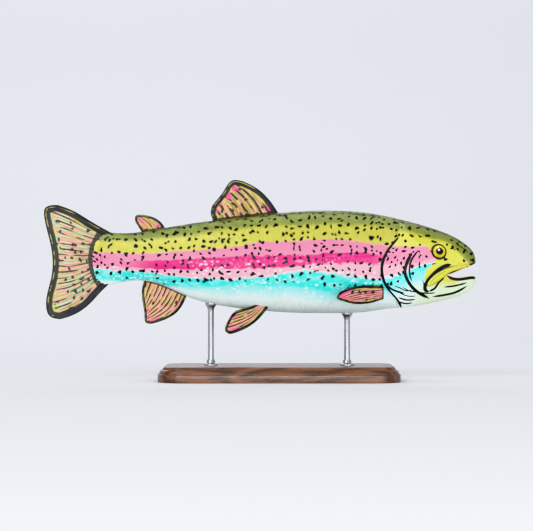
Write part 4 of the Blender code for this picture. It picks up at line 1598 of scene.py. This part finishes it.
@dataclass(frozen=True)
class FinPlan:
    """A fin's four edges as (distance, height), its thickness at the base, its rays and where they branch.
    Two corners are rounded off by shares of the margin and of the edge beside it. A paired fin stands off
    the middle and splays outwards, per millimetre down and back."""

    kind: FinKind
    base: Points
    front: Points
    margin: Points
    rear: Points
    thick: float
    rays: int
    front_round: tuple[float, float]
    rear_round: tuple[float, float]
    splits: tuple[float, float] = (0.42, 0.72)
    stand_off: float = 0.0
    splay: tuple[float, float] = (0.0, 0.0)
    sink: float = 0.0
    wave: float = 0.5
    rows: int = 64
    ray_steps: int = 10
    scallop: float = 0.3
    ray_rise: float = 0.34


FINS = {
    "dorsal_fin": FinPlan(
        FinKind.MEDIAN, base=[(203, 46), (238, 42), (272, 38)],
        front=[(203, 46), (214, 63), (228, 76.4), (244, 84.4)],
        margin=[(244, 84.4), (254, 84.6), (262.6, 74), (271.3, 62.8), (278, 54)],
        rear=[(272, 38), (275, 46), (278, 54)], thick=3.0, rays=12, front_round=(0.1, 0.03),
        rear_round=(0.14, 0.36)),
    "adipose_fin": FinPlan(
        FinKind.MEDIAN, base=[(322, 32), (334, 30), (346, 28)],
        front=[(322, 32), (328, 41), (337, 46.6), (348, 49)],
        margin=[(348, 49), (354.5, 47.6), (356, 43.5)],
        rear=[(346, 28), (351.5, 36), (356, 43.5)], thick=3.2, rays=6, front_round=(0.3, 0.06),
        rear_round=(0.4, 0.16), ray_rise=0.03, scallop=0.0, wave=0.2, rows=36),
    "anal_fin": FinPlan(
        FinKind.MEDIAN, base=[(300, -33), (323, -23), (345, -17)],
        front=[(300, -33), (311, -52.5), (325, -61), (340, -65.6)],
        margin=[(340, -65.6), (343.8, -64), (345.4, -56), (347, -44.4)],
        rear=[(345, -17), (348, -30), (347, -44.4)], thick=2.8, rays=11, front_round=(0.2, 0.06),
        rear_round=(0.2, 0.14), rows=56),
    "tail_fin": FinPlan(
        FinKind.TAIL, base=[(372, 26), (382, 2), (374, -18)],
        front=[(372, 26), (386, 33.5), (400, 41.4), (415, 50.6), (426, 55.8), (437, 59.5)],
        margin=[(437, 59.5), (448.8, 56), (449.4, 44), (443, 16), (441.2, 0), (443, -18), (448, -43),
                (444, -57), (434, -60.4)],
        rear=[(374, -18), (387, -28), (402.6, -44.4), (420, -56), (434, -60.4)], thick=3.4, rays=19,
        front_round=(0.05, 0.02), rear_round=(0.05, 0.02), splits=(0.38, 0.62), rows=84, wave=0.9),
    "pelvic_fin": FinPlan(
        FinKind.PAIRED, base=[(215, -46), (221, -45), (228, -44)],
        front=[(215, -46), (228.5, -61.8), (244, -71.3), (257, -75.6)],
        margin=[(257, -75.6), (260.6, -72), (259, -63), (252.3, -51.6)],
        rear=[(228, -44), (240, -48.5), (252.3, -51.6)], thick=2.6, rays=9, front_round=(0.2, 0.05),
        rear_round=(0.22, 0.2), stand_off=10.0, splay=(0.36, 0.10), rows=52),
    "pectoral_fin": FinPlan(
        FinKind.PAIRED, base=[(97, -25), (95, -31.5), (97, -38)],
        front=[(97, -25), (116, -24.6), (133.4, -27), (147, -33.4)],
        margin=[(147, -33.4), (146.6, -37), (140, -40.6), (130, -43.8)],
        rear=[(97, -38), (104, -41), (116, -43.6), (130, -43.8)], thick=2.6, rays=12,
        front_round=(0.3, 0.10), rear_round=(0.2, 0.14), stand_off=24.7, splay=(-0.40, 0.40), sink=3.5,
        rows=60),
}


@dataclass
class Fin:
    """One fin, or one of a pair: a web with branching rays, thin at its margin."""

    name: str
    plan: FinPlan
    form: Form
    margin_half: float = 0.3
    root_swell: float = 1.3

    def read_edge(self, points: Points, share: Array) -> Array:
        """Places at shares of the length of a smooth curve through points."""
        dense = smooth_path(points, 400)
        return np.stack([np.interp(share, np.linspace(0, 1, 400), axis) for axis in dense.T], -1)

    def sheet(self, u: Array, v: Array) -> Array:
        """A Coons patch: the base and margin blended over v, plus the front and rear blended over u, less
        the blend of the corners. It sways by a sine.

        Args:
            u, v: shares of the way from the front to the rear, and from the base outwards.

        Returns:
            the points.
        """
        plan = self.plan
        a, b = u[..., None], v[..., None]
        corners = ((1 - a) * (1 - b) * plan.front[0] + a * (1 - b) * plan.rear[0]
                   + (1 - a) * b * plan.front[-1] + a * b * plan.rear[-1])
        flat = ((1 - b) * self.read_edge(plan.base, u) + b * self.read_edge(plan.margin, u)
                + (1 - a) * self.read_edge(plan.front, v) + a * self.read_edge(plan.rear, v) - corners)
        at, height = flat[..., 0], flat[..., 1]
        first_at, first_height = plan.base[0]
        down, back = plan.splay
        side = plan.stand_off + down * (first_height - height) + back * (at - first_at)
        side -= plan.sink * ease(0.16 - v, 0, 0.16)
        sway = plan.wave * np.sin(2 * pi * (1.2 * u - 0.6 * v + 0.15)) * v ** 1.5
        return packed(at, side + sway, height)

    def rounding(self, u: Array) -> Array:
        """How far out each column reaches: quarter ellipses take off the margin's two corners."""
        reach = np.ones(u.shape)
        for near, (wide, deep) in ((1 - u, self.plan.front_round), (u, self.plan.rear_round)):
            reach -= deep * (1 - quarter_round(np.clip((near - 1 + wide) / wide, 0, 1)))
        return reach

    def rays(self, phase: Array, v: Array) -> Array:
        """How strongly each place belongs to a ray: a bell over the distance to its crest, which splits in
        two twice, by folding that distance about a growing offset.

        Args:
            phase, v: the ray's number, and the share of the way out.

        Returns:
            the strength, 0 to 1.
        """
        away = np.abs(phase % 1 - 0.5)
        for start, spread in zip(self.plan.splits, (0.25, 0.125)):
            away = np.abs(away - spread * ease(v, start, start + 0.3) * ease(phase, 1.2, 1.8))
        return bell(away, 0, 0.19 - 0.12 * v)

    def clear_of_flesh(self, points: Array) -> Array:
        """How far points stand beyond the body.

        Args:
            points: the points.

        Returns:
            the distances.
        """
        at, height, form = points[..., 0], points[..., 2], self.form
        if self.plan.kind is FinKind.PAIRED:
            return np.linalg.norm(points - points[:1], axis=-1) - self.plan.sink
        if self.plan.kind is FinKind.MEDIAN:
            return np.maximum(height - form.back(at), form.under(at) - height)
        top, bottom = form.back(FLESH_END[0]), form.under(FLESH_END[0])
        share = (2 * height - top - bottom) / (top - bottom)
        return at - (FLESH_END[1] - (FLESH_END[1] - FLESH_END[0]) * share ** 2)

    def edge_distance(self, points: Array) -> Array:
        """How far points are from the fin's free outline, seen from the side.

        Args:
            points: the sheet's grid.

        Returns:
            the distances.
        """
        outline = np.concatenate([points[:, 0], points[-1], points[::-1, -1]])[:, [0, 2]]
        flat = points[..., [0, 2]].reshape(-1, 2)
        nearest = [np.sqrt(((part[:, None] - outline[None]) ** 2).sum(-1).min(1))
                   for part in np.array_split(flat, 16)]
        return np.concatenate(nearest).reshape(points.shape[:2])

    def build(self) -> None:
        """Makes the fin or the pair: two faces, one each side of the sheet."""
        plan = self.plan
        u, v = np.meshgrid(
            np.linspace(0, 1, plan.rays * plan.ray_steps + 1), np.linspace(0, 1, plan.rows + 1))
        far = v * self.rounding(u)
        points = self.sheet(u, far)
        phase = plan.rays * u
        ray, edge = self.rays(phase, v), self.edge_distance(points)
        outward = np.diff(points, axis=0)
        pull = unit(np.concatenate([outward, outward[-1:]]))
        notch = ease(v, 0.88, 1) * ease(edge, 0, 0.1) + (v == 1) * (u > 0) * (u < 1)
        points = points - pull * (plan.scallop * (1 - ray) * notch)[..., None]
        normal = unit(np.cross(np.gradient(points, axis=0), np.gradient(points, axis=1)))
        normal *= np.sign(normal[..., 1:2] + 1e-12)
        half = self.margin_half + (plan.thick / 2 - self.margin_half) * (1 - far) ** 1.3
        half += self.root_swell * bell(far, 0, 0.16) + 0.3 * bell(phase, 0, 0.9) * (1 - far)
        half += plan.ray_rise * ray * (1 - 0.55 * far) * ease(far, 0.02, 0.2)
        half *= np.sqrt(np.clip(edge / 0.9, 0, 1))
        half[0] = 0
        faces = [points + face * half[..., None] * normal for face in (1, -1)]
        values = dict(web=packed(phase, far, edge), ray=ray, root=self.clear_of_flesh(points))
        material = FIN_FINISHES[self.name].build(self.name)
        if plan.kind is FinKind.PAIRED:
            finish_pair(f"web_{self.name}", self.name, "fins", material, faces, **values)
            return
        shell = Shell()
        for face in faces:
            shell.add(face, **values)
        finish_piece(shell.build(f"web_{self.name}"), material, "fins", self.name)


# ---- eyes, mouth and lips

@dataclass
class Eye:
    """A glossy eye that bulges from its socket: a domed iris round a lens that stands a little proud."""

    form: Form
    pupil: float = 3.6
    iris: float = 6.7
    rim: float = 9.2
    segments: int = 96

    def build(self) -> None:
        """Makes both eyes: an ellipsoid's profile with a lens and two grooves, turned about the socket's
        normal, with the pupil drawn out ahead."""
        edge = self.pupil
        front = np.concatenate([np.linspace(0, edge - 0.3, 9), np.linspace(edge - 0.2, edge + 0.3, 7),
                                np.linspace(edge + 0.5, self.rim, 30)])
        lens = 0.12 * quarter_round(front / (edge + 0.1)) ** 1.6
        groove = -0.16 * bell(front, edge + 0.7, 0.5) - 0.18 * bell(front, self.iris + 0.2, 0.35)
        back = np.linspace(self.rim, 0, 9)[1:]
        radius, dome = np.concatenate([front, back]), EYE_DEEP * quarter_round(front / EYE_LONG)
        height = np.concatenate([dome + lens + groove, -0.5 * EYE_DEEP * quarter_round(back / EYE_LONG)])
        turn = np.linspace(0, 2 * pi, self.segments + 1)
        cosine, sine, normal = np.cos(turn), np.sin(turn), self.form.eye_normal
        rearward = unit(np.array([1.0, 0.0, 0.0]) - normal[0] * normal)
        upward = np.cross(normal, rearward)
        upward *= np.sign(upward[2])
        stretch = 1 + 0.10 * np.clip(-cosine, 0, 1)[None] ** 8 * bell(radius, edge, 0.9)[:, None]
        ring = cosine[None, :, None] * rearward + sine[None, :, None] * upward
        centre = self.form.eye_place - normal * (EYE_DEEP - EYE_PROUD)
        points = centre + (radius[:, None] * stretch)[..., None] * ring + height[:, None, None] * normal
        gaze = packed(radius[:, None], cosine, sine)
        finish_pair("eyeball", "eye", "eyes", EyeFinish().build(), [points], gaze=gaze)


@dataclass
class LipBone:
    """The maxilla: a long blade along the upper lip, from the snout to behind the mouth, with a smaller
    bone along its upper rear edge."""

    form: Form
    course: Points = ((7, -3.9), (18, -5.8), (28, -8.4), (40, -15.2), (52, -25))
    half_widths: Points = ((0, 1.4), (1, 2.2), (2, 3.1), (3, 4.0), (4, 2.6))
    widen: float = 1.08
    crown: float = 1.45
    seam: float = 0.22
    rim_height: float = 0.15
    rows: int = 90
    columns: int = 22

    def build(self, material: Material) -> None:
        """Makes both blades. The outer face rises by crown * (1 - s^2)^0.6 over the width, s from -1 to 1,
        and both ends are round.

        Args:
            material: their look, the skin's.
        """
        middle = smooth_path(self.course, self.rows)
        along = unit(np.gradient(middle, axis=0))
        beside = packed(-along[:, 1], along[:, 0])
        share = np.linspace(0, 1, self.rows)
        half = self.widen * Curve(self.half_widths, rounded=False)(4 * share)
        half *= np.sqrt(np.clip(share / 0.05, 0, 1)) * quarter_round(np.clip((share - 0.9) / 0.1, 0, 1))
        across = np.sin(np.linspace(-pi / 2, pi / 2, self.columns))
        grid = middle[:, None] + (half[:, None] * across)[..., None] * beside[:, None]
        at, height = grid[..., 0], grid[..., 1]
        upper = (ease(share, 0.42, 0.55) * ease(1 - share, 0.02, 0.10))[:, None]
        dome = (1 - across ** 2) ** 0.6
        outer = (self.rim_height + self.crown * dome - 0.35 * bell(across, self.seam, 0.10) * upper
                 + 0.2 * upper * ease(across, 0.25, 0.6))
        away = (1 - np.abs(across)) * half[:, None]
        # painted shade: a dark line along the blade's edges, stronger on its upper edge, and along the seam
        # of the smaller bone
        line = np.where(across > 0, 1.0, 0.7) * ease(share, 0.15, 0.45)[:, None] - away / 0.8
        line = np.maximum(line, 0.9 * upper - np.abs(across - self.seam) * half[:, None] / 0.35 - 0.3)
        lie = self.form.lie(at, np.interp(height, (-40.0, 40.0), (1.5, 0.5)), 1.0)
        lie[..., 1] = self.form.level(at, height)
        masks = packed(FACE_FULL, 0.0, np.clip(line, SHADE_LINE_OUT, SHADE_LINE_FULL))
        base, normal = self.form.skin_point(at, height), self.form.normal_at(at, height, 1.5)
        edge = np.abs(across) > 0.999
        faces = [base + normal * np.where(edge, self.rim_height, lift + 0 * at)[..., None]
                 for lift in (outer, -0.7 * dome)]
        finish_pair(
            "lip_bone", "maxilla", "skin", material, faces, lie=lie, masks=masks, lining=np.zeros(at.shape))


@dataclass
class Mouth:
    """The tongue and the rows of small pointed teeth inside the lips."""

    form: Form
    tongue_centre: tuple[float, float] = (27.0, -20.2)
    tongue_radii: tuple[float, float, float] = (12.0, 5.5, 1.9)
    tooth_pitch: float = 1.7
    tooth_height: float = 1.35
    tooth_radius: float = 0.46
    tooth_sides: int = 7

    def tongue(self) -> None:
        """A flat ellipsoid with a blunt front, a groove along its middle and small bumps."""
        a = np.linspace(0, pi, 49)[:, None]
        b = np.linspace(0, 2 * pi, 65)[None]
        long, wide, tall = self.tongue_radii
        at = self.tongue_centre[0] - long * np.cos(a) + 0 * b
        side = wide * np.sin(a) ** 0.7 * np.cos(b)
        top = tall * np.sin(a) ** 0.8 * np.sin(b)
        groove = 0.45 * bell(side, 0, 0.7) * ease(top, 0.2, 1.2)
        knobs = 0.10 * np.sin(2.6 * at) * np.sin(3.1 * side) * ease(top, 0.2, 1.0)
        shell = Shell()
        shell.add(packed(at, side, self.tongue_centre[1] + top - groove + knobs))
        finish_piece(shell.build("mouth_tongue"), FleshFinish().build(), "mouth", "tongue")

    def teeth(self) -> None:
        """Teeth along both jaws, inside the lips."""
        rng = np.random.default_rng(SEED + 5)
        count, radius = self.tooth_sides, self.tooth_radius
        k, n = np.arange(count), (np.arange(count) + 1) % count
        tip, root, turn = 2 * count, 2 * count + 1, k * 2 * pi / count
        faces = np.concatenate([packed(*face) for face in (
            (k + count, n + count, tip), (k, n, n + count), (k, n + count, k + count), (n, k, root))])
        shell = Shell()
        for lower, stretch, up in ((False, 1.1, -1.0), (True, 1.0, 1.0)):
            at = np.arange(3.0, MOUTH_CORNER - 2.5, self.tooth_pitch * stretch)
            width, height = self.form.edge(at, np.full(at.shape, lower))
            side = width - np.minimum(LIP_WIDTH, 0.45 * width) * 0.62
            tall = self.tooth_height * rng.uniform(0.7, 1.15, at.shape) * ease(MOUTH_CORNER - at, 0, 8)
            for x, y, z, reach in zip(at, side, height, tall):
                # a cone that leans back: two rings, the tip and the root's middle
                shape = (radius, -0.7, 0.0), (radius * 0.72, 0.55 * reach, 0.12 * reach)
                rings = [packed(x + lean + wide * np.cos(turn), y + wide * np.sin(turn), z + up * rise)
                         for wide, rise, lean in shape]
                ends = [[x + 0.4 * reach, y - 0.1 * reach, z + up * reach], [x, y, z - up * 0.7]]
                shell.add_both(np.concatenate([*rings, ends]), faces)
        finish_piece(shell.build("mouth_teeth"), EnamelFinish().build(), "mouth")

    def build(self) -> None:
        """Makes the tongue and the teeth."""
        self.tongue()
        self.teeth()


# ---- stand

@dataclass
class Stand:
    """A moulded walnut base and two steel rods with flanged feet, whose cups follow the belly."""

    form: Form
    size: tuple[float, float, float] = (250.0, 112.0, 16.0)
    corner: float = 26.0
    rods: tuple[tuple[str, float], ...] = (("front", 134.0), ("rear", 276.0))
    rod_radius: float = 3.2
    segments: int = 64
    # The base's moulding, as quarter rounds: (inset, height, the inset's and the height's radius).
    moulding: tuple[tuple[float, float, float, float], ...] = (
        (0.9, 7.6, 0.9, 0.9), (5.2, 8.5, 3.6, 4.4), (7.7, 14.1, 1.9, 1.9))
    # The rods' rings, as (radius, height) above the base and below the belly, less the shaft's radius.
    foot: Points = (
        (-3.2, -1.0), (4.2, -1.0), (4.4, 0.2), (4.4, 1.0), (4.1, 1.4), (1.8, 1.9), (1.4, 2.4), (1.3, 5.2),
        (1.0, 5.6), (0.0, 5.8))
    neck: Points = ((0.0, -7.0), (0.25, -5.5), (1.0, -3.2), (2.3, -1.6), (2.6, -0.9))
    # The cup's rings, as (radius, how deep in the belly).
    cup: Points = ((2.6, -0.1), (2.2, 0.35), (0.0, 0.35), (-3.2, 0.35))

    def outline(self, inset: float) -> Array:
        """The base's rounded rectangle.

        Args:
            inset: how far it is moved in.

        Returns:
            (distance, side) round its middle.
        """
        long, wide = self.size[0] / 2 - inset, self.size[1] / 2 - inset
        radius = self.corner - inset
        turn = np.linspace(0, pi / 2, 17)
        quarter = packed(np.cos(turn), np.sin(turn)) * radius + (long - radius, wide - radius)
        half = np.concatenate([quarter, (quarter * (-1, 1))[::-1]])
        return np.concatenate([half, -half, half[:1]])

    def base(self) -> None:
        """The base: its outline carried up a moulded profile."""
        turn = np.linspace(0, pi / 2, 7)
        foot = packed(0.8 - 0.8 * np.sin(turn), 0.8 - 0.8 * np.cos(turn))
        shoulder, cove, bead = (packed(inset - wide * np.cos(turn), height + tall * np.sin(turn))
                                for inset, height, wide, tall in self.moulding)
        profile = np.concatenate([foot, shoulder, cove, [[5.4, 13.6]], bead])
        middle = sum(at for _, at in self.rods) / len(self.rods)
        rings = [packed(middle + ring[:, 0], ring[:, 1], height - AXIS_HEIGHT)
                 for ring, height in ((self.outline(inset), height) for inset, height in profile)]
        shell = Shell()
        shell.add(np.stack(rings))
        for ring in (rings[0], rings[-1]):
            count = len(ring) - 1
            fan = packed(np.arange(count), np.arange(1, count + 1), count + 1)
            shell.add(np.concatenate([ring, [[middle, 0.0, ring[0, 2]]]]), fan)
        finish_piece(
            shell.build("stand_walnut_base", sharp=35), WalnutFinish().build(), "base_wood", "stand_base")

    def belly_height(self, at: Array, side: Array) -> Array:
        """Height of the underside at distances behind the snout and to the side."""
        middle = self.form.widest(at)
        share = np.clip(np.abs(side) / self.form.half_width(at), 0, 1) ** ROUND_BELOW
        return middle - (middle - self.form.under(at)) * (1 - share) ** (1 / ROUND_BELOW)

    def rod(self, name: str, at: float, material: Material) -> None:
        """A rod: a flanged foot, the shaft and a cup under the belly.

        Args:
            name, at: front or rear, and its distance behind the snout.
            material: its look.
        """
        turn = np.linspace(0, 2 * pi, self.segments + 1)
        cosine, sine, shaft = np.cos(turn), np.sin(turn), self.rod_radius
        rings = []
        for course, level in (
                (self.foot, self.size[2] - AXIS_HEIGHT), (self.neck, float(self.form.under(at)))):
            for wide, height in course:
                rings.append(packed(at + (shaft + wide) * cosine, (shaft + wide) * sine, level + height))
        for wide, sunk in self.cup:
            x, y = at + (shaft + wide) * cosine, (shaft + wide) * sine
            rings.append(packed(x, y, self.belly_height(x, y) + sunk))
        shell = Shell()
        shell.add(np.stack(rings))
        finish_piece(
            shell.build(f"stand_steel_rod_{name}", sharp=40), material, "rod_steel", f"stand_rod_{name}")

    def build(self) -> None:
        """Makes the base and both rods."""
        self.base()
        steel = SteelFinish().build()
        for name, at in self.rods:
            self.rod(name, at, steel)


# ---- studio

@dataclass(frozen=True)
class SoftLight:
    """A soft rectangular light: where it stands and looks, its size and its power in watts."""

    name: str
    place: tuple[float, float, float]
    size: tuple[float, float]
    power: float
    target: tuple[float, float, float] = (0.0, 0.0, 0.12)
    round: bool = False

    def build(self, eyes: Sequence[Item]) -> None:
        """Makes the light. Round ones light the eyes alone, and the others leave them out, so that each eye
        shows one highlight.

        Args:
            eyes: both eyes.
        """
        data = bpy.data.lights.new(self.name, "AREA")
        data.shape, data.energy = "DISK" if self.round else "RECTANGLE", self.power
        data.size, data.size_y = self.size
        lamp = link_up(self.name, data)
        lamp.location = self.place
        lamp.rotation_euler = (Vector(self.target) - Vector(self.place)).to_track_quat("-Z", "Y").to_euler()
        lit = bpy.data.collections.new(f"{self.name}_receivers")
        for eye in eyes:
            lit.objects.link(eye)
        for entry in lit.collection_objects:
            entry.light_linking.link_state = "INCLUDE" if self.round else "EXCLUDE"
        lamp.light_linking.receiver_collection = lit


LIGHTS = (
    SoftLight("key", (-0.9, -1.7, 1.3), (1.3, 0.9), 17),
    SoftLight("fill", (1.3, -1.6, 0.6), (1.0, 1.2), 9),
    SoftLight("low_front", (0.0, -1.5, 0.10), (1.8, 0.16), 12),
    SoftLight("top", (0.1, 0.2, 1.7), (1.6, 1.0), 7),
    SoftLight("far_side", (-0.2, 1.5, 1.0), (1.4, 0.8), 10),
    SoftLight("near_catch", (0.554, -0.802, 0.811), (0.42, 0.42), 12, (0.186, -0.02, 0.129), True),
    SoftLight("far_catch", (0.554, 0.802, 0.811), (0.42, 0.42), 12, (0.186, 0.02, 0.129), True),
)


@dataclass
class Studio:
    """A plain pale floor that curves up into a backdrop, soft lights, and the side-on camera."""

    view_middle: tuple[float, float] = (0.007, 0.1199)
    view_width: float = 0.5557
    distance: float = 2.2
    floor_colour: Colour = (226, 227, 231)
    air_colour: Colour = (236, 238, 243)

    def floor(self) -> None:
        """The floor and backdrop: a flat sheet, a quarter circle and an upright sheet."""
        front, depth, bend, wide, tall = -4.0, 1.1, 0.5, 4.0, 2.4
        turn = np.linspace(0, pi / 2, 17)
        curve = packed(depth + bend * np.sin(turn), bend - bend * np.cos(turn))
        profile = np.concatenate([[(front, 0.0)], curve, [(depth + bend, tall)]])
        points = packed(np.array([-wide, wide])[None], profile[:, :1], profile[:, 1:])
        mesh = bpy.data.meshes.new("studio_floor")
        mesh.from_pydata(points.reshape(-1, 3), [], grid_faces(len(profile), 2).tolist())
        mesh.shade_smooth()
        material, net, shader = new_material("studio_paper")
        net.set(shader, Base_Color=linear(self.floor_colour), Roughness=0.9, Specular_IOR_Level=0.2)
        mesh.materials.append(material)
        link_up("studio_floor", mesh)

    def air(self) -> None:
        """The sky's soft glow, which is a little stronger at the horizon."""
        air = bpy.data.worlds.new("studio_air")
        air.use_nodes = True
        net = Net(air.node_tree)
        up = net.split(net.add("TexCoord").outputs["Generated"])[2]
        net.set(air.node_tree.nodes["Background"], Color=linear(self.air_colour),
                Strength=net.span(net.math("ABSOLUTE", up), 0.1, 0.4, 0.86, 0.62))
        bpy.context.scene.world = air

    def build(self) -> None:
        """Sets the floor, the lights, the sky and the camera."""
        self.floor()
        eyes = [item for item in bpy.context.scene.objects if item.name.startswith("eyeball")]
        for light in LIGHTS:
            light.build(eyes)
        self.air()
        bpy.context.scene.view_settings.view_transform = "Khronos PBR Neutral"
        data = bpy.data.cameras.new("camera")
        data.sensor_width = 36.0
        data.lens = data.sensor_width / (self.view_width / self.distance)
        camera = link_up("camera", data)
        camera.location = (self.view_middle[0], -self.distance, self.view_middle[1])
        camera.rotation_euler = (pi / 2, 0.0, 0.0)
        bpy.context.scene.camera = camera


def main() -> None:
    """Builds the trout, its stand and its studio."""
    logging.basicConfig(level=logging.INFO, format="%(name)s: %(message)s")
    LOG.info("a visual model for %d CAD nodes", len(frame["nodes"]))
    form, skin = Form(), SkinFinish().build()
    finish_piece(Skin(form).build(), skin, "skin", "head", "lower_jaw", "trunk", "tail_stalk",
                 "gill_cover_left", "gill_cover_right")
    ScaleCoat(form).build()
    LipBone(form).build(skin)
    for name, plan in FINS.items():
        Fin(name, plan, form).build()
    for maker in (Eye, Mouth, Stand):
        maker(form).build()
    Studio().build()


if __name__ == "__main__":
    main()
